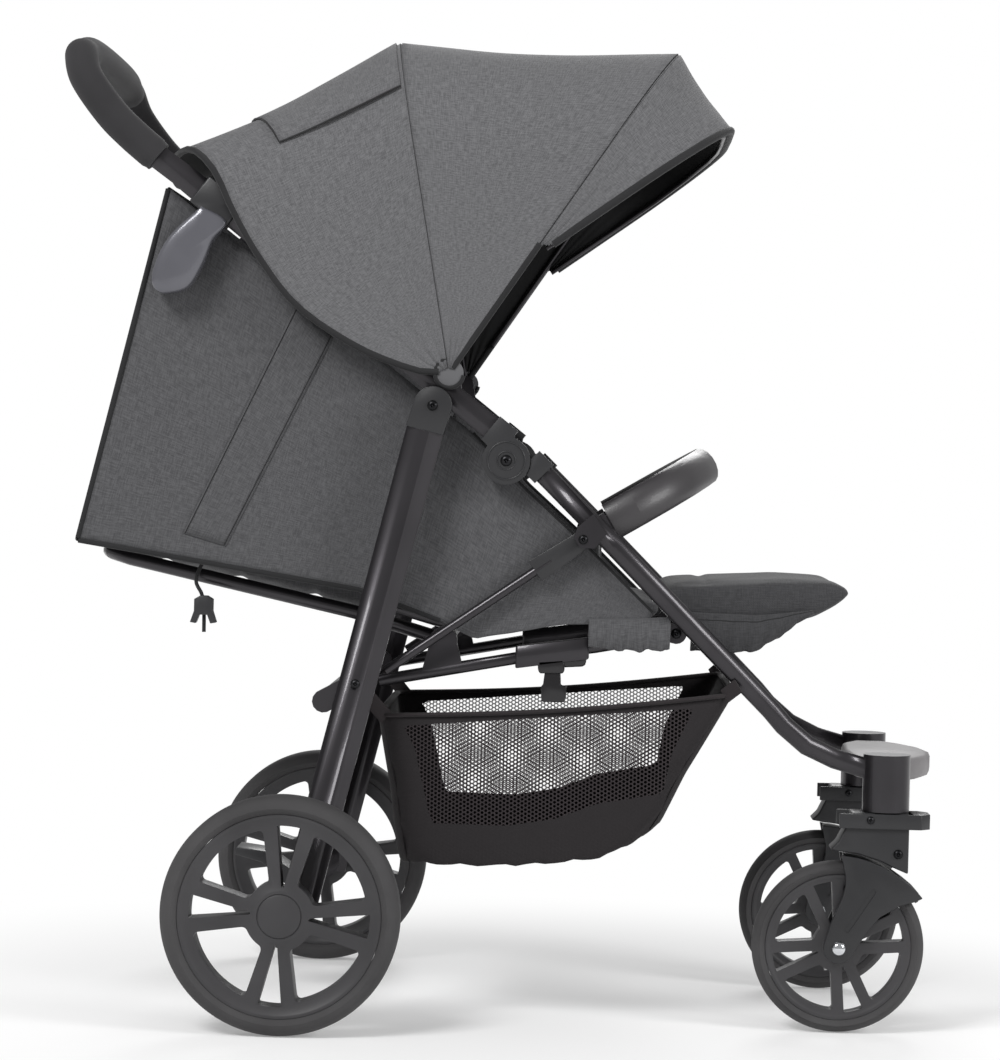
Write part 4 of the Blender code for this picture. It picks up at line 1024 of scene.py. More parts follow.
    def build(self) -> None:
        """Make the three cloths, their bindings, the seams and the vent's cover."""
        seam, foot, hinge = 0.0004, 0.006, math.dist(PIVOT, HINGE)
        back = self.even(self.rear.line(foot, self.lift, -seam))
        edge = self.even(self.rear_edge())
        start = self.even(self.rear.line(foot, self.lift, seam))
        end = self.even(self.front.line(foot, self.lift, -seam))
        base = self.even(self.front.line(hinge + 0.010, self.lift, seam))
        brim = self.even(self.visor.line(0.020, 0.0006))
        cloths = (
            self.cloth("canopy_rear_panel", edge, back, 0.4, ("handle_frame", "bow_rear")),
            self.cloth("canopy_mid_panel", start, end, 1.9, ("bow_rear", "bow_front")),
            self.cloth("canopy_visor_panel", base, brim, 3.1, ("bow_front", "visor")),
        )
        self.trim(edge, start, end, base, brim)
        self.flap(edge, back)
        bows = ("handle_tube_fine", "canopy_bow_rear_fine", "canopy_bow_front_fine", "visor_wire_fine")
        trims = (
            ("canopy_rear_binding", "canopy_seam_rear"),
            ("canopy_front_binding_right", "canopy_front_binding_left", "canopy_seam_front"),
            ("canopy_brim_binding",),
        )
        for first, ((made, rows), names) in enumerate(zip(cloths, trims)):
            pieces = tuple(bpy.data.objects[name] for name in names)
            declare(made, rows, "stretched", bows[first : first + 2], pieces)

    def flap(self, edge: list[Point], back: list[Point]) -> None:
        """Lay the vent's cover over the rear cloth, from the rear seam down to its own hem.

        Args:
            edge: Lower edge of the rear cloth.
            back: Rear seam.
        """
        first, last, steps = 17, 43, 14

        def spot(down: float, across: float) -> Point:
            """Return the cover's place at two shares."""
            t = 0.34 + 0.64 * down
            j = first + round(across * (last - first))
            lift = 0.0046 + 0.0012 * math.sin(math.pi * down) + 0.0008 * wave(0.6, 9 * t, 0.5 * j)
            return self.drawn(edge[j], back[j], t, -lift)

        rows = weave(steps, last - first, spot)
        made = cloth_sheet("canopy_vent_cover", rows, Look.CANVAS, 0.0016)
        rim = [row[0] for row in reversed(rows)] + rows[0] + [row[-1] for row in rows]
        hem = piping("canopy_vent_hem", rim, 0.0012, 8)
        middle = len(edge) // 2
        for piece in (made, hem):
            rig.blend(piece, "handle_frame", "bow_rear", edge[middle], back[middle])
            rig.slot(piece, "canopy_cloth")
        declare(made, rows, "laid", ("canopy_rear_cloth",), (hem,))

    def trim(self, edge: list[Point], start: list[Point], end: list[Point], base: list[Point],
             brim: list[Point]) -> None:
        """Bind the edges, cover the pivots and raise the two seams.

        Args:
            edge: Lower edge of the rear cloth.
            start: Rear seam.
            end: Front edge of the middle cloth.
            base: Seam of the visor.
            brim: Edge of the visor.
        """
        self.tape("canopy_rear_binding", edge, "handle_frame", 0.0036)
        self.tape("canopy_brim_binding", brim, "visor", 0.0044)
        reach = math.dist(PIVOT, HINGE) + 0.012
        lower = [p for p in end[:30] if math.dist(PIVOT, (p[0], p[2])) < reach]
        out, size, flat = 0.2322, 0.0150, 0.14
        for name, side in SIDES.items():
            line = [(x, abs(y) * side, z) for x, y, z in lower]
            self.tape(f"canopy_front_binding_{name}", line, "bow_front", 0.0034)
            patch = dome(f"canopy_patch_{name}", (PIVOT[0], side * out, PIVOT[1]), side, size, Look.CANVAS)
            for vertex in patch.data.vertices:
                vertex.co.y = side * (out + flat * (abs(vertex.co.y) - out))
            settle(patch, "handle_frame", "canopy_cloth")
            rim = [along(PIVOT, math.radians(100 + 12 * i), size) for i in range(22)]
            rim = [(x, side * (out + 0.0004), z) for x, z in rim]
            self.tape(f"canopy_patch_binding_{name}", rim, "handle_frame", 0.0022)
        for name, line, body in (("rear", start, "bow_rear"), ("front", base, "bow_front")):
            settle(piping(f"canopy_seam_{name}", line, 0.0013, 8, Look.CANVAS), body, "canopy_cloth")


def shift(thing: Thing, y: float) -> None:
    """Move a piece's mesh across the chair."""
    thing.data.transform(Matrix.Translation((0, y, 0)))


def crisp(thing: Thing, degrees: float) -> None:
    """Shade a piece smooth but for its edges from an angle on."""
    thing.data.shade_smooth()
    thing.data.set_sharp_from_angle(angle=math.radians(degrees))


def soften(thing: Thing, width: float, degrees: float) -> None:
    """Bevel a piece's edges from an angle on."""
    apply(
        thing, "BEVEL", width=width, segments=2, limit_method="ANGLE",
        angle_limit=math.radians(degrees), use_clamp_overlap=True,
    )


def refine(node: str, body: str, slot: str, look: Look, edge: float) -> None:
    """Weld a copy of a CAD node, soften its edges and let it stand for the node.

    Args:
        node: The CAD node.
        body: The body that it is in.
        slot: Its material slot.
        look: The finish.
        edge: Width of the soft edge.
    """
    source = frame["nodes"][node]
    weld, even = 0.00002, math.radians(0.6)
    solid = bmesh.new()
    solid.from_mesh(source.data)
    solid.transform(source.matrix_world)
    bmesh.ops.remove_doubles(solid, verts=solid.verts, dist=weld)
    bmesh.ops.dissolve_limit(solid, angle_limit=even, verts=solid.verts, edges=solid.edges)
    for face in solid.faces:
        face.material_index = 0
    bmesh.ops.recalc_face_normals(solid, faces=solid.faces)
    made = mesh_object(node + "_fine", solid, look)
    if edge:
        soften(made, edge, 42)
    crisp(made, 38)
    settle(made, body, slot, node)


def crumple(thing: Thing, *nodes: str) -> Thing:
    """Let a cloth of the seat back turn with it and gather on it as the chair folds.

    Args:
        thing: The cloth.
        *nodes: The CAD nodes that it stands for.

    Returns:
        The same cloth.
    """
    settle(thing, "back_hub", "seat_cloth", *nodes)
    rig.squash(thing, "back_fold", axis=(0.147, 0, 0.989), anchor=(-0.30, 0, 0.4785), keep=0.28)
    return thing


def sink(thing: Thing) -> Thing:
    """Let a cloth at the seat's side sink onto the seat as the chair folds, and return it."""
    settle(thing, "front_frame", "seat_cloth")
    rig.squash(thing, "frame_fold", axis=(0, 0, 1), anchor=(0, 0, 0.425), keep=0.35)
    return thing


def at_share(line: list[Point], s: float) -> Flat:
    """Return the (x, z) at a share of a line of (share, x, z) points."""
    return tuple(height([(spot[0], spot[k]) for spot in line], s) for k in (1, 2))


@dataclass
class SideCloth:
    """The cloth that closes the seat's side between the hood and the seat, with its strap and piping.

    It is two pieces, joined behind the rear leg: one on the seat back and one on the seat.

    Attributes:
        side: Minus one for the right, one for the left.
        at: Distance of its middle plane from the chair's.
        thick: Its thickness.
        columns: Steps along it.
        rows: Steps down it.
        split: Column where its two pieces meet.
    """

    # (share, x, z) under the hood and down the handle tube to the seat's nose.
    TOP = [(0.0, -0.3572, 0.8704), (0.60, -0.0340, 0.6230), (0.71, 0.0200, 0.5680), (0.85, 0.0913, 0.5045),
           (1.0, 0.1580, 0.4404)]
    # (share, x, z) along the seat back and under the seat to its nose.
    BOTTOM = [(0.0, -0.4455, 0.5004), (0.50, -0.1502, 0.4564), (0.645, -0.0643, 0.4260),
              (0.705, -0.0270, 0.4069), (0.79, 0.0200, 0.4176), (0.93, 0.1037, 0.4290), (1.0, 0.1540, 0.4170)]

    side: int
    at: float = 0.1965
    thick: float = 0.0022
    columns: int = 90
    rows: int = 34
    split: int = 48

    def swell(self, x: float, z: float) -> float:
        """Return how far the cloth stands out at a side-view point."""
        low = math.exp(-(((z - 0.47 + 0.16 * x) / 0.05) ** 2))
        folds = 0.0020 * math.sin(60 * x + 30 * z) * low * math.exp(-(((x + 0.11) / 0.10) ** 2))
        slack = 0.0012 * wave(2.0, 19 * x + 4 * z, 15 * z - 9 * x)
        crease = 0.0016 * math.exp(-(((z - 0.62 - 0.9 * (x + 0.10)) / 0.012) ** 2))
        return folds + slack + crease * math.exp(-(((x + 0.13) / 0.06) ** 2))

    def spot(self, x: float, z: float, out: float = 0.0) -> Point:
        """Return the place of a side-view point on the cloth."""
        return (x, self.side * (self.at + self.swell(x, z) + out), z)

    def place(self, t: float, s: float) -> Point:
        """Return the cloth's place at a share down and a share along it."""
        x, z = mix(at_share(self.TOP, s), at_share(self.BOTTOM, s), t)
        return self.spot(x, z + 0.0022 * math.sin(46 * s) * t * max(0.0, s - 0.55) * 2)

    def build(self, name: str) -> None:
        """Make the cloth, its strap and its piping.

        Args:
            name: The side's name.
        """
        rows = weave(self.rows, self.columns, self.place)
        rear_rows = [row[: self.split + 1] for row in rows]
        front_rows = [row[self.split :] for row in rows]
        made = cloth_sheet(f"side_cloth_{name}", rear_rows, Look.SEAT, self.thick)
        crumple(made, f"side_panel_{name}")
        front = sink(cloth_sheet(f"seat_side_{name}", front_rows, Look.SEAT, self.thick))
        self.strap(name, made)
        lower = dense_line([(x, z) for _, x, z in self.BOTTOM[:3]], 0.01)
        rear = [self.spot(x, z) for x, z in lower if x < -0.120]
        ahead = [self.spot(x, z) for x, z in lower if x > -0.132]
        rear = crumple(piping(f"side_piping_rear_{name}", rear, 0.0028))
        ahead = sink(piping(f"side_piping_front_{name}", ahead, 0.0028))
        upper = dense_line([(x, z) for _, x, z in self.TOP[1:]], 0.01)
        hem = sink(piping(f"side_hem_{name}", [self.spot(x, z) for x, z in upper], 0.0018, 10))
        declare(made, rear_rows, "stretched", ("handle_tube_fine", "backrest_frame_fine"), (rear,))
        rail = f"seat_rail_{name}_fine"
        declare(front, front_rows, "stretched", ("handle_tube_fine", rail), (ahead, hem))
        self.nose(name)

    def strap(self, name: str, cloth: Thing) -> None:
        """Lay the strap over the rear cloth, with a stitch along each edge.

        Args:
            name: The side's name.
            cloth: The rear cloth.
        """
        rear, front = ((-0.2218, 0.754), (-0.3354, 0.5106)), ((-0.1831, 0.7183), (-0.2899, 0.4981))
        rows = weave(24, 8, lambda t, s: self.spot(*mix(mix(*rear, t), mix(*front, t), s), 0.0016))
        band = crumple(cloth_sheet(f"side_strap_{name}", rows, Look.SEAT, 0.0012))
        seams = []
        for ends in ([(-0.2199, 0.7522), (-0.3335, 0.5102)], [(-0.185, 0.7203), (-0.2918, 0.4990)]):
            path = [self.spot(x, z, 0.0024) for x, z in dense_line(ends, 0.008)]
            seams.append(crumple(piping(f"strap_stitch_{name}_{len(seams)}", path, 0.0005, 6)))
        declare(band, rows, "laid", (cloth.name,), tuple(seams))

    def nose(self, name: str) -> None:
        """Fold the seat's cloth down over its front tube, gathered along the lower edge.

        Args:
            name: The side's name.
        """
        above = dense_line([(0.0920, 0.4310), (0.1380, 0.4325), (0.1780, 0.4350)], 0.002)
        last = len(above) - 1

        def spot(t: float, s: float) -> Point:
            """Return the cloth's place at two shares."""
            x, z = above[round(s * last)]
            fall = 0.0330 + 0.0010 * math.sin(23 * s) + 0.0009 * wave(1.3, 31 * s) - 0.006 * (1 - s) ** 4
            gather = 0.0016 * t * math.sin(52 * s + 1.5 * t) * (0.35 + 0.65 * math.sin(math.pi * s))
            tuck = 0.0045 * math.sin(math.pi * t) + 0.0018
            y = self.side * (self.at + tuck + gather)
            return (x + 0.0015 * t * math.sin(23 * s), y, z - fall * t)

        rows = weave(14, last, spot)
        made = cloth_sheet(f"seat_nose_{name}", rows, Look.SEAT, 0.0016)
        settle(made, "front_frame", "seat_cloth")
        line = piping(f"seat_nose_seam_{name}", rows[0], 0.0011, 8, Look.SEAT)
        settle(line, "front_frame", "seat_cloth")
        declare(made, rows, "gathered", ("seat_front_tube_fine",), (line,))


@dataclass
class HeadWall:
    """The cloth behind the child's head, hung between the side cloths.

    Attributes:
        half: Half its width.
        bulge: How far it stands out backwards.
        top: Its upper edge.
        low: Its lower edge.
    """

    half: float = 0.1945
    bulge: float = 0.010
    top: Flat = (-0.3590, 0.8704)
    low: Flat = (-0.4455, 0.5030)

    def spot(self, t: float, s: float) -> Point:
        """Return the wall's place at a share down and a share across it."""
        x, z = mix(self.top, self.low, t)
        out = self.bulge * math.sin(math.pi * t) ** 0.7 * math.sin(math.pi * s) ** 0.6
        return (x - out - 0.0012 * wave(0.7, 6 * t + 5 * s, 9 * s), self.half * (2 * s - 1), z)

    def build(self) -> None:
        """Make the wall with its hem and pipings."""
        rows = weave(30, 40, self.spot)
        made = cloth_sheet("head_wall_cloth", rows, Look.SEAT, 0.0022)
        crumple(made, "head_wall")
        trims = []
        edges = (("piping", self.low, 0.001, 0.0028, 12), ("hem", self.top, 0.0, 0.0022, 10))
        for stem, (x, z), out, radius, count in edges:
            line = [(x - out, self.half * (i / 10 - 1), z - out) for i in range(21)]
            trims.append(crumple(piping(f"head_wall_{stem}", line, radius, count)))
        for name, side in SIDES.items():
            y = side * (self.half + 0.0022)
            seam = [(x - 0.0004, y, z) for x, z in dense_line([self.top, self.low], 0.02)]
            trims.append(crumple(piping(f"head_wall_corner_{name}", seam, 0.0030, 10)))
        declare(made, rows, "hung", ("backrest_frame_fine",), tuple(trims))


def narrow(x: float) -> float:
    """Return the calf rest's share of its full width at x."""
    return 1 - 0.14 * min(max((x - 0.22) / 0.14, 0.0), 1.0)


@dataclass
class Cushions:
    """The seat, the backrest and the calf rest, each filled from a smaller shell.

    Attributes:
        fill: How full they are.
    """

    fill: float = 0.6

    def pad(self, stem: str, outline: list[Flat], half: float, look: Look, body: str,
            lines: list[tuple[Flat, Flat]], most: float) -> Thing:
        """Args:
            stem: First part of its name and of its CAD node's.
            outline: Its side view.
            half: Half its width.
            look: Its cloth.
            body: The body that it rides on.
            lines: Channels as (x, y) ends.
            most: Largest movement of the filling.

        Returns:
            The cushion.
        """
        made = slab_shell(f"{stem}_cushion", outline, half, look, 0.005)
        inflate(made, most)
        pressed(made, lines)
        sheet_uv(made)
        made.data.shade_smooth()
        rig.padded(made, self.fill)
        return settle(made, body, "seat_cloth", f"{stem}_pad")

    def channels(self, across: tuple[float, ...], ends: Flat, y: float) -> list[tuple[Flat, Flat]]:
        """Return the ends of the channels across a cushion at some x, and of the two along it at y."""
        rows = [((x, -0.150), (x, 0.150)) for x in across]
        return rows + [((ends[0], side), (ends[1], side)) for side in (-y, y)]

    def build(self) -> None:
        """Make the three cushions and the calf rest's skirts."""
        seat = [(-0.032, 0.4235), (0.020, 0.4245), (0.100, 0.4290), (0.166, 0.4350)]
        seat += [(0.168, 0.4490), (0.110, 0.4515), (0.020, 0.4450), (-0.032, 0.4420)]
        lines = self.channels((0.030, 0.115), (-0.02, 0.16), 0.085)
        self.pad("seat", seat, 0.162, Look.SEAT, "front_frame", lines, 0.005)
        lift, thick = 0.0105, 0.018
        line = [(-0.122, 0.4225), (-0.1569, 0.4317), (-0.345, 0.4715), (-0.418, 0.4870)]
        back = [(x, z + lift) for x, z in line] + [(x, z + lift + thick) for x, z in reversed(line)]
        lines = self.channels((-0.20, -0.28, -0.36), (-0.41, -0.13), 0.088)
        self.pad("backrest", back, 0.160, Look.SEAT, "backrest", lines, 0.006)
        calf = [(0.166, 0.4500), (0.186, 0.4340), (0.230, 0.4290), (0.280, 0.4300), (0.330, 0.4380)]
        calf += [(0.3560, 0.4510), (0.3710, 0.4625), (0.3680, 0.4690), (0.3540, 0.4730)]
        calf += [(0.2970, 0.4745), (0.2042, 0.4690), (0.164, 0.4660)]
        lines = [((0.215, -0.13), (0.215, 0.13))]
        made = self.pad("calf", calf, 0.150, Look.PAD, "calf_rest", lines, 0.003)
        for vertex in made.data.vertices:
            vertex.co.y *= narrow(vertex.co.x)
        for name, side in SIDES.items():
            self.skirt(name, side)

    def skirt(self, name: str, side: int) -> None:
        """Hang the gathered cloth under one side of the calf rest.

        Args:
            name: The side's name.
            side: The side.
        """
        above = dense_line([(0.200, 0.4400), (0.270, 0.4380), (0.330, 0.4440)], 0.002)
        fall = [(0.200, 0.040), (0.262, 0.040), (0.2935, 0.026), (0.312, 0.012), (0.330, 0.004)]
        last = len(above) - 1

        def spot(t: float, s: float) -> Point:
            """Return the cloth's place at two shares."""
            x, z = above[round(s * last)]
            drop = height(fall, x)
            drop += (0.0008 * math.sin(190 * x) + 0.0009 * wave(0.4, 260 * x)) * min(1.0, drop / 0.02)
            gather = 0.0020 * t * math.sin(330 * x + 2 * t) + 0.0030 * math.sin(math.pi * t)
            return (x, side * (0.1535 * narrow(x) + gather), z - drop * t)

        rows = weave(16, last, spot)
        made = cloth_sheet(f"calf_skirt_{name}", rows, Look.PAD, 0.0014)
        settle(made, "calf_rest", "seat_cloth")
        seam = settle(piping(f"calf_seam_{name}", rows[3], 0.0010, 8), "calf_rest", "seat_cloth")
        declare(made, rows, "gathered", ("calf_frame_fine",), (seam,))


@dataclass
class Basket:
    """The open basket: a sagging cloth shell with mesh sides and a taped hem.

    Attributes:
        half: Half its width at the hem.
        sag: How far its floor hangs down in the middle.
        count: Points of each line round it, a multiple of four.
    """

    # Side view of the floor and the front, and of the mesh window.
    FLOOR = [(-0.1011, 0.1683), (-0.0113, 0.1700), (0.0557, 0.1744), (0.112, 0.1811), (0.174, 0.2119),
             (0.1973, 0.2429), (0.2222, 0.2937), (0.246, 0.3560)]
    WINDOW = [(-0.1, 0.3140), (0.2044, 0.3403), (0.1826, 0.2923), (0.1744, 0.2492), (0.1075, 0.237),
              (0.0608, 0.219), (0.0108, 0.2103), (-0.0689, 0.2114), (-0.0877, 0.2917)]

    half: float = 0.190
    sag: float = 0.004
    count: int = 160

    def ring(self, t: float) -> list[Point]:
        """Return a closed line round the basket.

        Args:
            t: Zero at the hem, one at the floor.

        Returns:
            The points.
        """
        rear = mix((-0.1272, 0.3246), (-0.1005, 0.1715), t)
        front = mix((0.2460, 0.3560), (0.1640, 0.2080), t**0.8)
        wide = self.half * (1 - 0.115 * t**1.6)
        corner = 0.020 + 0.012 * t
        length = (front[0] - rear[0]) / 2
        made = []
        for i in range(self.count):
            k, s = divmod(4 * i / self.count, 1)
            e = 0.5 - 0.5 * math.cos(math.pi * s)
            u, w = ((2 * e - 1, -1.0), (1.0, 2 * e - 1), (1 - 2 * e, 1.0), (-1.0, 1 - 2 * e))[int(k)]
            x, y = (front[0] + rear[0]) / 2 + u * length, w * wide
            near = max(0.0, abs(u) * length - (length - corner)), max(0.0, abs(y) - (wide - corner))
            far = math.hypot(*near)
            if far > corner and near[0] > 0 and near[1] > 0:
                x -= math.copysign(near[0] * (1 - corner / far), u)
                y -= math.copysign(near[1] * (1 - corner / far), y)
            share = (x - rear[0]) / (front[0] - rear[0])
            arch = math.sin(math.pi * share)
            wall = abs(w) == 1.0
            z = rear[1] + (front[1] - rear[1]) * share
            if t > 0.5:
                z += (height(self.FLOOR, x) - z) * ((t - 0.5) / 0.5) ** 1.5
            if t > 0.9:
                z -= 0.0030 * arch + 0.0016 * wave(0.9, 42 * share)
            if wall:
                bunch = t * (math.exp(-((share / 0.16) ** 2)) + math.exp(-(((1 - share) / 0.16) ** 2)))
                hollow = 0.004 * math.sin(math.pi * t) * arch + 0.0012 * t * wave(0.3, 30 * share, 9 * t)
                y -= math.copysign(hollow + 0.0035 * bunch * math.sin(16 * t + 40 * share), y)
                z -= 0.006 * arch * (1 - t)
            made.append((x, y, z))
        return made

    def window(self, x: float, z: float) -> float:
        """Return how far inside the mesh window a side-view point is, in metres."""
        inside = False
        nearest = 1.0
        for a, b in zip(self.WINDOW, self.WINDOW[1:] + self.WINDOW[:1]):
            nearest = min(nearest, gap(Vector((x, z)), a, b))
            if (a[1] > z) != (b[1] > z) and x < (b[0] - a[0]) * (z - a[1]) / (b[1] - a[1]) + a[0]:
                inside = not inside
        return nearest if inside else -nearest

    def hang(self, piece: Thing, *nodes: str) -> Thing:
        """Hang a piece in the frame and let it gather towards the front legs as the chair folds."""
        settle(piece, "front_frame", "basket_mesh", *nodes)
        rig.squash(piece, "frame_fold", axis=(1, 0, 0), anchor=(0.246, 0, 0.3), keep=0.3)
        return piece

    def build(self) -> None:
        """Make the shell, its hem tape and its straps."""
        walls, inner = 22, 12
        rows = [self.ring(i / walls) for i in range(walls + 1)]
        for i in range(1, inner):
            t = i / inner
            row = []
            for x, y, _ in rows[walls]:
                sx, sy = x + (0.035 - x) * t, y * (1 - t)
                drop = self.sag * math.sin(math.pi * t / 2) - 0.0012 * wave(1.1, 30 * sx, 24 * sy)
                row.append((sx, sy, height(self.FLOOR, max(sx, -0.1)) - drop))
            rows.append(row)
        made = loft("basket_shell", rows, Look.BASKET, closed=True)
        solid = bmesh.new()
        solid.from_mesh(made.data)
        solid.verts.ensure_lookup_table()
        solid.faces.new(solid.verts[-self.count :])
        uv = solid.loops.layers.uv["metres"]
        for face in solid.faces:
            flat, side = abs(face.normal.z) > 0.7, abs(face.normal.y) > 0.6
            for loop in face.loops:
                x, y, z = loop.vert.co
                loop[uv].uv = (x, y) if flat else ((x, z) if side else (y, z))
        solid.to_mesh(made.data)
        solid.free()
        inside = made.data.attributes.new("window", "FLOAT", "POINT")
        places = [vertex.co for vertex in made.data.vertices]
        values = [self.window(x, z) if abs(y) > 0.150 else -0.02 for x, y, z in places]
        inside.data.foreach_set("value", values)
        apply(made, "SOLIDIFY", thickness=0.0009, offset=0.0)
        made.data.shade_smooth()
        self.hang(made, "basket")
        hem = self.ring(0.0)
        trims = [self.hang(tube("basket_hem", hem + hem[:1], 0.0042, 0.0024, Look.HEM))]
        ends = (((-0.118, 0.322), (-0.142, 0.349)), ((0.236, 0.354), (0.250, 0.366)))
        for (name, side), (number, (a, b)) in itertools.product(SIDES.items(), enumerate(ends)):
            line = [(a[0], side * 0.188, a[1]), (b[0], side * 0.196, b[1])]
            strap = tube(f"basket_strap_{name}_{number}", line, 0.0012, 0.008, Look.HEM)
            trims.append(self.hang(strap))
        shut = [row + row[:1] for row in rows]
        declare(made, shut, "hung", ("front_leg_right_fine", "rear_leg_right_fine"), tuple(trims))


@dataclass
class Wheel:
    """A wheel with a foam tread and a moulded rim of four double spokes.

    Attributes:
        kind: Front or rear, as in its bodies' and nodes' names.
        axle: Side-view place of its axle.
        at: Distance of its middle plane from the chair's.
        radius: Its radius.
        wide: Its width.
        seat: Radius where the tread sits on the rim.
        hub: Radius of the hub.
        inner: Radius where the wide windows begin.
        outer: Radius where all windows end.
        narrow: Radius where the narrow slots begin.
        first: Direction of a narrow slot in degrees.
        slot: Half the angle of a narrow slot at its outer end.
        fan: Half the angle of a wide window at its outer and its inner end.
        web: Half the thickness of the spokes.
        cap: Profile of the hub from its middle, as (radius, outward) pairs.
        steps: Corners of its circles.
    """

    kind: str
    axle: Flat
    at: float
    radius: float
    wide: float
    seat: float
    hub: float
    inner: float
    outer: float
    narrow: float
    first: float
    slot: float
    fan: Flat
    web: float
    cap: list[Flat]
    steps: int = 144

    def lathe(self, name: str, profile: list[Flat], side: int, look: Look) -> Thing:
        """Turn a closed profile of (radius, outward) pairs about the axle.

        Args:
            name: The piece's name.
            profile: The profile.
            side: The wheel's side.
            look: The finish.

        Returns:
            The closed solid.
        """
        axle = (self.axle[0], 0.0, self.axle[1])
        rings = [ring(axle, r, side * (self.at + out), self.steps) for r, out in profile]
        return skin(name, rings, look, 32, loop=profile[0][0] > 0)

    def arc(self, radius: float, start: float, end: float, count: int) -> list[Flat]:
        """Return points on a circle about the axle, angles in degrees."""
        turns = [math.radians(start + (end - start) * i / (count - 1)) for i in range(count)]
        return [along(self.axle, turn, radius) for turn in turns]

    def windows(self) -> list[list[Flat]]:
        """Return the outlines of the four narrow slots and the four wide windows."""
        made = []
        half, near = self.fan
        for quarter in range(4):
            mid = self.first + 90 * quarter
            slit = self.arc(self.outer + 0.003, mid - self.slot, mid + self.slot, 6)
            made.append(slit + self.arc(self.narrow, mid + 2.5, mid - 2.5, 2))
            wide = mid + 45
            fan = self.arc(self.outer, wide - half, wide + half, 20)
            made.append(fan + self.arc(self.inner, wide + near, wide - near, 8))
        return made

    def cutter(self) -> Thing:
        """Return the windows as closed prisms with round corners, for the Boolean."""
        solid = bmesh.new()
        for outline in self.windows():
            shell(solid, prism(outline, 0.03))
        upright = [e for e in solid.edges if abs(e.verts[0].co.y - e.verts[1].co.y) > 0.01]
        sharp = [e for e in upright if e.calc_face_angle(0) > math.radians(30)]
        for share, slots in ((0.012, True), (0.055, False)):
            there = []
            for edge in sharp:
                spot = edge.verts[0].co
                turn = math.degrees(math.atan2(spot.z - self.axle[1], spot.x - self.axle[0]))
                off = abs((turn - self.first + 45) % 90 - 45)
                if (off <= self.slot + 1) == slots:
                    there.append(edge)
            bmesh.ops.bevel(
                solid, geom=there, offset=self.outer * share, segments=4, profile=0.5, affect="EDGES"
            )
            sharp = [edge for edge in sharp if edge.is_valid]
        return mesh_object("windows", solid, Look.RIM)

    def build(self, name: str, side: int) -> None:
        """Make the tread and the rim.

        Args:
            name: The side's name.
            side: The wheel's side.
        """
        half, r, seat, out = self.wide / 2, self.radius, self.seat, self.outer + 0.0035
        tread = [(seat, half - 0.004), (seat + 0.002, half - 0.0015), (seat + 0.006, half)]
        tread += [(r - 0.009, half - 0.0008), (r - 0.0045, half - 0.0032), (r - 0.0015, half - 0.0075)]
        tread += [(r, half - 0.0125)]
        tread += [(a, -b) for a, b in reversed(tread)]
        body = f"{self.kind}_wheel_{name}"
        made = self.lathe(f"{self.kind}_tread_{name}", tread, side, Look.TREAD)
        settle(made, body, "tyre", f"{self.kind}_tyre_{name}")
        lip, back = half - 0.0034, -0.8 * self.cap[0][1]
        edge = [(out, self.web), (seat - 0.004, lip - 0.0006), (seat - 0.0025, lip), (seat - 0.0003, lip)]
        rim = [*self.cap, *edge, *((a, -b) for a, b in reversed(edge))]
        rim += [(self.hub, -self.web), (self.hub - 0.002, back), (0, back)]
        made = self.lathe(f"{self.kind}_spokes_{name}", rim, side, Look.RIM)
        tool = self.cutter()
        shift(tool, side * self.at)
        cut(made, tool)
        soften(made, 0.0011, 50)
        crisp(made, 35)
        settle(made, body, "plastic", f"{self.kind}_rim_{name}")


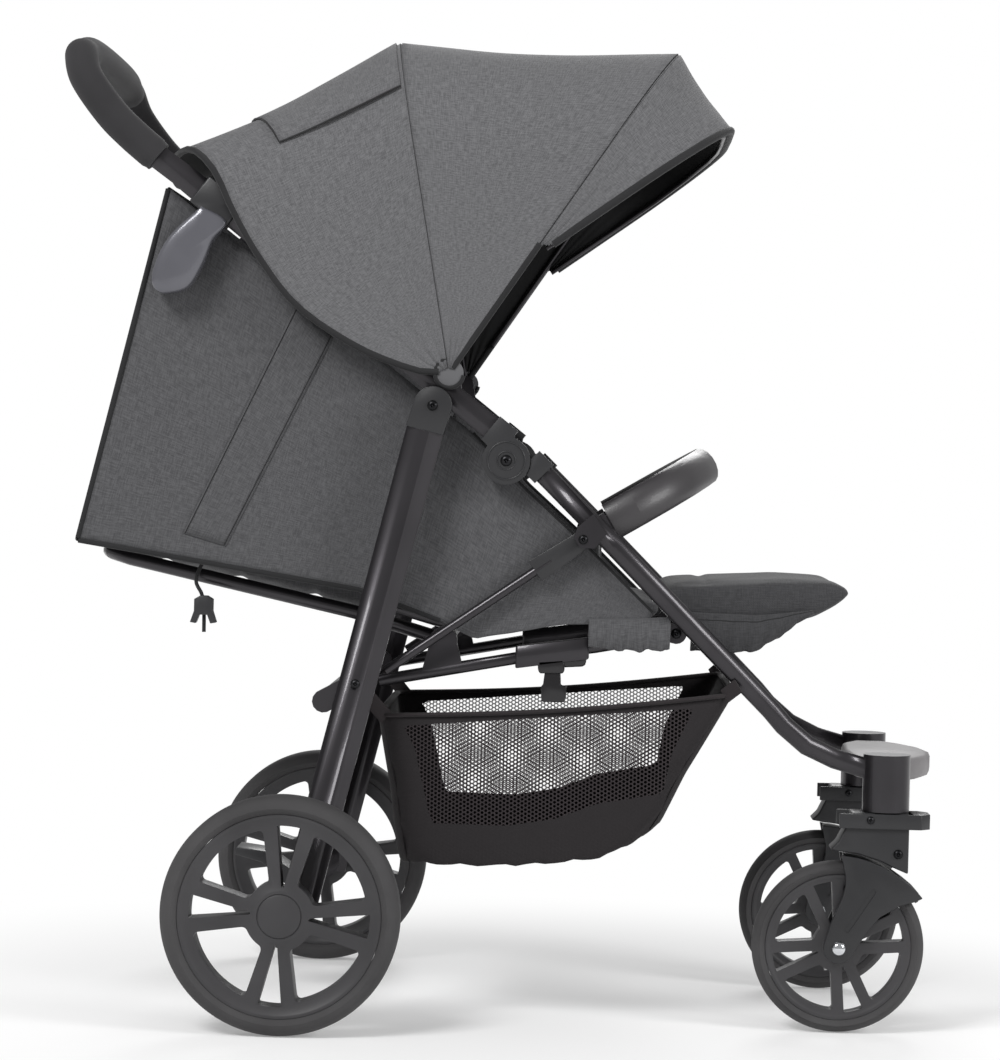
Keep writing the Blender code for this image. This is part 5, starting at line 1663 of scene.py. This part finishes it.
@dataclass
class Fork:
    """A caster's moulded fork: two cheeks, the guard over the tread and the swivel block.

    Attributes:
        axle: Side-view place of the wheel's axle.
        at: Distance of its middle plane from the chair's.
        near: Distance of a cheek's inner face from the middle plane.
        thick: A cheek's thickness.
        guard: Inner and outer radius of the guard over the tread.
    """

    axle: Flat = AXLE
    at: float = CASTER
    near: float = 0.0165
    thick: float = 0.0060
    guard: Flat = (0.0935, 0.0975)

    def placed(self, points: list[Flat]) -> list[Flat]:
        """Move points given from the axle to their place."""
        return [(self.axle[0] + x, self.axle[1] + z) for x, z in points]

    def cheek(self) -> list[Flat]:
        """Return a cheek's outline: the round hub, the flared guard and the waisted rear edge."""
        hub = [along((0, 0), math.radians(turn), 0.0162) for turn in range(165, 346, 20)]
        front = [(0.0301, 0.0193), (0.0425, 0.0341), (0.0622, 0.0464), (0.0795, 0.0514), (0.0869, 0.0551)]
        top = [(0.0780, 0.0650), (0.0672, 0.0736), (0.0560, 0.0812), (0.0425, 0.0880), (0.0300, 0.0927)]
        top += [(0.0178, 0.0960), (0.0005, 0.0983)]
        rear = [(0.0030, 0.0860), (0.0054, 0.0761), (0.0052, 0.0660), (0.0030, 0.0563), (-0.0020, 0.0430)]
        return self.placed(hub + front + top + rear + [(-0.0085, 0.0280)])

    def block(self) -> list[Flat]:
        """Return the outline of the block under the swivel."""
        rear = [(-0.0115, 0.1040), (-0.0035, 0.1120), (0.0040, 0.1275), (0.0100, 0.1437), (0.0709, 0.1437)]
        low = [(0.0709, 0.0800), (0.0560, 0.0860), (0.0425, 0.0925), (0.0178, 0.1000), (0.0000, 0.1020)]
        return self.placed(rear + low)

    def build(self, name: str, side: int) -> None:
        """Make the fork.

        Args:
            name: The side's name.
            side: The side.
        """
        middle = side * self.at
        parts = []
        for edge in (-1, 1):
            plate = slab_shell(f"cheek_{edge + 1}", self.cheek(), self.thick / 2, Look.NYLON, 0.0012, 2)
            shift(plate, middle + edge * (self.near + self.thick / 2))
            self.groove(plate, middle + edge * (self.near + self.thick))
            parts.append(plate)
        inner, outer = self.guard
        start, sweep, steps = 88, 56, 20
        turns = [math.radians(start - sweep * i / steps) for i in range(steps + 1)]
        band = [along(self.axle, turn, outer) for turn in turns]
        band += [along(self.axle, turn, inner) for turn in reversed(turns)]
        parts.append(slab_shell("guard", band, self.near + 0.002, Look.NYLON, 0.0006, 1))
        parts.append(slab_shell("block", self.block(), 0.0205, Look.NYLON, 0.0022))
        for part in parts[2:]:
            shift(part, middle)
        made = parts[0]
        select(made)
        for part in parts:
            part.select_set(True)
        bpy.ops.object.join()
        made.name = f"caster_fork_fine_{name}"
        crisp(made, 34)
        settle(made, f"caster_{name}", "plastic", f"caster_fork_{name}")

    def groove(self, plate: Thing, face: float) -> None:
        """Sink a long shallow groove into a cheek's outer face.

        Args:
            plate: The cheek.
            face: Where its outer face is across the chair.
        """
        low, high = self.placed([(0.0085, 0.0200), (0.0350, 0.0610)])
        lean = math.degrees(math.atan2(high[1] - low[1], high[0] - low[0]))
        outline = []
        for end, turned in ((high, lean), (low, lean + 180)):
            outline += [along(end, math.radians(turned + turn), 0.0028) for turn in range(-90, 91, 20)]
        tool = slab_shell("groove", outline, 0.0009, Look.NYLON, 0.0001, 1)
        shift(tool, face)
        cut(plate, tool)


class Fittings:
    """Screws, chromed axle caps and the knuckles' rings."""

    # Name, place on the left, radius and body of the frame's screws.
    SCREWS = (
        ("leg_top_screw", (-0.075, 0.243, 0.650), 0.0055, "rear_frame"),
        ("leg_screw", (-0.148, 0.243, 0.360), 0.0050, "rear_frame"),
        ("link_screw", (0.084, 0.220, 0.515), 0.0050, "front_frame"),
        ("calf_screw", (0.1838, 0.1916, 0.4186), 0.0055, "front_frame"),
    )
    # Name, side view, distance from the caster's middle plane, radius and body of a caster's fittings.
    CASTER_CAPS = (
        ("axle_cap", AXLE, 0.0225, 0.0078, "caster"),
        ("fork_screw", (0.4234, 0.1915), 0.0205, 0.0050, "caster"),
        ("lever_screw", (0.3932, 0.2270), 0.0243, 0.0042, "lock"),
    )

    def build(self, name: str, side: int) -> None:
        """Make one side's fittings.

        Args:
            name: The side's name.
            side: The side.
        """
        for stem, (x, y, z), radius, body in self.SCREWS:
            settle(screw(f"{stem}_{name}", (x, side * y, z), side, radius), body, "frame")
        for where, edge in (("inner", -1), ("outer", 1)):
            for stem, (x, z), out, radius, body in self.CASTER_CAPS:
                spot = (f"{stem}_{name}_{where}", (x, side * (CASTER + edge * out), z), side * edge, radius)
                made = dome(*spot, Look.DOME) if stem == "axle_cap" else screw(*spot)
                settle(made, f"{body}_{name}", "frame")
        self.knuckle(name, side)

    def knuckle(self, name: str, side: int) -> None:
        """Ring and screw the outer face of a fold knuckle.

        Args:
            name: The side's name.
            side: The side.
        """
        at = (0.002, side * 0.224, 0.595)
        for stem, radius, thick in (("outer", 0.0195, 0.0009), ("inner", 0.0095, 0.0008)):
            bpy.ops.mesh.primitive_torus_add(
                major_segments=72, minor_segments=10, major_radius=radius, minor_radius=thick,
                location=at, rotation=(math.pi / 2, 0, 0),
            )
            torus = bpy.context.object
            torus.name = f"knuckle_ring_{stem}_{name}"
            torus.data.transform(torus.matrix_world)
            torus.matrix_world = Matrix.Identity(4)
            torus.data.materials.append(Look.NYLON.value.build())
            torus.data.shade_smooth()
            settle(torus, "handle_frame", "plastic")
        settle(screw(f"knuckle_screw_{name}", at, side, 0.0060), "handle_frame", "frame")

    def latch(self) -> None:
        """Make the storage latch: a hook in the foot of the right seat rail's sleeve."""
        rail = -0.184
        block = [(0.0395, 0.3860), (0.0670, 0.3885), (0.0680, 0.3765), (0.0660, 0.3735), (0.0420, 0.3730)]
        block += [(0.0400, 0.3765)]
        foot = [(0.0640, 0.3950), (0.0905, 0.3965), (0.0905, 0.3850), (0.0880, 0.3812), (0.0640, 0.3795)]
        hook = [(0.0475, 0.3775), (0.0635, 0.3775), (0.0645, 0.3610), (0.0705, 0.3600), (0.0700, 0.3470)]
        hook += [(0.0680, 0.3432), (0.0452, 0.3430), (0.0440, 0.3470), (0.0436, 0.3590), (0.0456, 0.3610)]
        shapes = (
            ("latch_block", block, 0.0080, 0.0016, "front_frame", ()),
            ("latch_foot", foot, 0.0060, 0.0030, "front_frame", ()),
            ("latch_claw", hook, 0.0058, 0.0012, "latch", ("latch_hook",)),
        )
        for name, outline, half, edge, body, nodes in shapes:
            made = slab_shell(name, outline, half, Look.GLOSS, edge)
            shift(made, rail)
            made.data.set_sharp_from_angle(angle=math.radians(40))
            settle(made, body, "plastic", *nodes)


@dataclass
class Handle:
    """The foam grip over the handle's loop, and the paddles of the seat's hangers.

    Attributes:
        radius: Half the foam's thickness.
        half: Distance of the handle's side tubes from the chair's middle.
        corner: Radius of the loop's corners.
    """

    radius: float = 0.0176
    half: float = 0.2125
    corner: float = 0.075

    def grip(self) -> None:
        """Sweep the foam along the loop's smooth line."""
        line = [(-0.3685, -self.half, 0.9020), (-0.3960, -self.half, 0.9245), (-0.4200, -self.half, 0.9480)]
        bend = ((-0.4460, 0.9830, 20), (-0.4545, 1.0070, 45), (-0.4550, 1.0110, 65), (-0.4545, 1.0165, 90))
        for x, z, degrees in bend:
            line.append((x, self.corner * (1 - math.cos(math.radians(degrees))) - self.half, z))
        line.append((-0.4540, -0.060, 1.0185))
        whole = smooth_line(line + [(x, -y, z) for x, y, z in reversed(line)], 7)
        foam = piping("grip_foam", whole, self.radius, 36, Look.FOAM)
        ends = [Vector(whole[0]), Vector(whole[-1])]
        near, draw = self.radius * 1.02, 0.93
        for vertex in foam.data.vertices:
            end = min(ends, key=lambda spot: (vertex.co - spot).length)
            if (vertex.co - end).length < near:
                vertex.co = end + (vertex.co - end) * draw
        foam.data.set_sharp_from_angle(angle=math.radians(70))
        settle(foam, "handle_frame", "foam", "handle_grip")

    def paddle(self, name: str, side: int) -> None:
        """Round off the hanging paddle of a seat hanger.

        Args:
            name: The side's name.
            side: The side.
        """
        line = [(-0.321, 0.851), (-0.345, 0.829), (-0.3584, 0.8120), (-0.3683, 0.790), (-0.3708, 0.772)]
        line += [(-0.3652, 0.7622), (-0.3541, 0.7602), (-0.3335, 0.7667), (-0.3192, 0.790)]
        line += [(-0.3088, 0.816), (-0.2947, 0.836)]
        closed = smooth_line([(x, 0.0, z) for x, z in line + line[:1]], 5)[:-1]
        heart = (-0.336, 0.0, 0.802)
        levels = ((0.2085, 1.0), (0.2262, 1.0), (0.2278, 0.985), (0.2290, 0.94), (0.2303, 0.80), (0.2312, 0.5))
        rings = []
        for out, share in levels:
            spots = [mix(heart, point, share) for point in closed]
            rings.append([(x, side * out, z) for x, _, z in spots])
        rings.append([(heart[0], side * 0.2315, heart[2])])
        # Its finish's lighter grey is partly a painted highlight of the glossy paddle.
        made = skin(f"hanger_paddle_{name}", rings, Look.SATIN, 75)
        settle(made, "handle_frame", "plastic")


@dataclass
class ReclineCord:
    """The braided cord under the seat back, run through its spring lock.

    Attributes:
        radius: Half its thickness.
        y: Its place across the chair.
    """

    radius: float = 0.002
    y: float = -0.180

    def build(self) -> None:
        points = [(-0.3004, 0.4960), (-0.3140, 0.4830), (-0.3226, 0.4615), (-0.3165, 0.4470)]
        points += [(-0.3138, 0.4353), (-0.3131, 0.4067)]
        line = smooth_line([(x, self.y, z) for x, z in points], 8)
        made = piping("recline_strand", line, self.radius, 16)
        settle(made, "backrest", "cord", "recline_cord")
        lock = bpy.data.objects["cord_lock_fine"]
        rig.cord(
            made, line[0], runs(line)[-1], 2 * self.radius, "fitting", stiffness="medium", lay="hanging",
            path=line, with_pieces=(lock,),
        )


@dataclass
class Studio:
    """The pale floor, the soft lights and the photo's camera.

    Attributes:
        lens: The camera's focal length in millimetres.
        eye: Its place.
        aim: The direction that it looks in.
        roll: Its turn about that direction in degrees.
    """

    lens: float = 115.98
    eye: Point = (0.0892, -3.767, 0.5875)
    aim: Point = (-88.5, 3415.0, -62.3)
    roll: float = 1.45

    def light(self, name: str, at: Point, to: Point, size: float, watts: float) -> None:
        """Hang a square soft light.

        Args:
            name: Its name.
            at: Its place.
            to: What it faces.
            size: Its width.
            watts: Its power.
        """
        lamp = bpy.data.lights.new(name, "AREA")
        lamp.shape = "SQUARE"
        lamp.size = size
        lamp.energy = watts
        thing = link(name, lamp)
        thing.location = at
        thing.rotation_euler = (Vector(to) - Vector(at)).to_track_quat("-Z", "Y").to_euler()

    def paper(self) -> bpy.types.Material:
        """Return a pale paper that turns to pure white away from the chair."""
        made = bpy.data.materials.new("paper_floor")
        made.use_nodes = True
        tree = made.node_tree
        bsdf = tree.nodes["Principled BSDF"]
        bsdf.inputs["Base Color"].default_value = (0.92, 0.92, 0.92, 1)
        bsdf.inputs["Roughness"].default_value = 0.9
        bsdf.inputs["Specular IOR Level"].default_value = 0.1
        place = add(tree, "TexCoord").outputs["Object"]
        away = add(tree, "VectorMath", {0: place}, operation="LENGTH").outputs["Value"]
        span = {"Value": away, "From Min": 0.42, "From Max": 0.95, "To Min": 0.25, "To Max": 1.0}
        fade = add(tree, "MapRange", span, interpolation_type="SMOOTHSTEP").outputs["Result"]
        white = add(tree, "Emission", {"Color": (1, 1, 1, 1), "Strength": 1.0})
        both = add(tree, "MixShader", {0: fade, 1: bsdf.outputs[0], 2: white.outputs[0]})
        tree.links.new(both.outputs[0], tree.nodes["Material Output"].inputs["Surface"])
        return made

    def build(self) -> None:
        """Set the floor, the world, the lights and the camera."""
        scene = bpy.context.scene
        scene.view_settings.view_transform = "Standard"
        bpy.ops.mesh.primitive_plane_add(size=14, location=(0, 0, -0.0005))
        floor = bpy.context.object
        floor.name = "floor"
        floor.data.materials.append(self.paper())
        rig.stage(floor)
        world = bpy.data.worlds.new("studio")
        world.use_nodes = True
        scene.world = world
        tree = world.node_tree
        tree.nodes.clear()
        out = add(tree, "OutputWorld")
        seen, fill = (add(tree, "Background", {"Color": (1, 1, 1, 1), "Strength": s}) for s in (1.0, 0.40))
        ray = add(tree, "LightPath").outputs["Is Camera Ray"]
        both = add(tree, "MixShader", {0: ray, 1: fill.outputs[0], 2: seen.outputs[0]})
        tree.links.new(both.outputs[0], out.inputs["Surface"])
        self.light("key", (-1.6, -2.4, 2.9), (0, 0, 0.5), 1.2, 88)
        self.light("side", (2.6, -1.6, 1.6), (0, 0, 0.5), 1.0, 44)
        self.light("back", (0.4, 2.8, 2.2), (0, 0, 0.6), 1.4, 44)
        lens = bpy.data.cameras.new("camera")
        lens.lens = self.lens
        lens.sensor_width = 36
        scene.camera = camera = link("camera", lens)
        turn = Vector(self.aim).to_track_quat("-Z", "Y").to_matrix().to_4x4()
        roll = Matrix.Rotation(math.radians(self.roll), 4, "Z")
        camera.matrix_world = Matrix.Translation(self.eye) @ turn @ roll


# Slot of the record to the finish, the soft edge and the CAD nodes; a star stands for either side.
HARD = {
    "frame": (
        Look.TUBE, 0.0,
        "handle_tube seat_front_tube hip_tube rear_cross_tube rear_axle backrest_frame calf_frame visor_wire"
        " canopy_bow_rear canopy_bow_front front_leg_* rear_leg_* seat_rail_* link_*",
    ),
    "plastic": (
        Look.NYLON, 0.0007,
        "knuckle_lower_* knuckle_upper_* seat_hanger_clip_* rear_leg_cap_* swivel_lock_* brake_pedal"
        " link_socket_* crotch_buckle cord_lock",
    ),
    "leatherette": (Look.SKIN, 0.0, "bumper_bar"),
    "pale_plastic": (Look.PALE, 0.0, "footrest"),
}


REAR = Wheel(
    "rear", axle=(-0.2166, 0.1233), at=0.2775, radius=0.1233, wide=0.045, seat=0.1049283, hub=0.022,
    inner=0.036, outer=0.0900, narrow=0.0300, first=85, slot=7.6, fan=(28.0, 22.0), web=0.0146,
    cap=[(0, 0.0172), (0.0212, 0.0168), (0.0220, 0.0164), (0.0223, 0.0154), (0.0229, 0.0154),
         (0.0232, 0.0162), (0.0270, 0.0160), (0.0290, 0.0148)],
)
FRONT = Wheel(
    "front", axle=AXLE, at=CASTER, radius=AXLE[1], wide=0.030, seat=0.0770043, hub=0.0135,
    inner=0.0265, outer=0.0665, narrow=0.0215, first=15, slot=8.4, fan=(26.6, 15.0), web=0.0098,
    cap=[(0, 0.0155), (0.0115, 0.0155), (0.0128, 0.0145), (0.0138, 0.0108), (0.018, 0.0100)],
)


def main() -> None:
    """Dress every sub-assembly, set the studio and write the sizes."""
    logging.basicConfig(level=logging.INFO, format="%(message)s")
    bodies = {node: body for body, names in frame["record"]["behaviour"]["bodies"].items() for node in names}
    for slot, (look, edge, names) in HARD.items():
        for stem in names.split():
            for node in [stem.replace("*", side) for side in SIDES] if "*" in stem else [stem]:
                refine(node, bodies[node], slot, look, edge)
    Canopy().build()
    HeadWall().build()
    Cushions().build()
    Basket().build()
    ReclineCord().build()
    for name, side in SIDES.items():
        SideCloth(side).build(name)
        REAR.build(name, side)
        FRONT.build(name, side)
        Fork().build(name, side)
        Fittings().build(name, side)
        Handle().paddle(name, side)
    Fittings().latch()
    Handle().grip()
    Studio().build()
    low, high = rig.bounds()
    sizes = {"cad": [list(v) for v in CAD_BOX], "visual": [list(low), list(high)]}
    with open("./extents.json", "w") as handle:
        json.dump(sizes, handle)
    LOG.info("visual box %s %s", tuple(low), tuple(high))


if __name__ == "__main__":
    main()
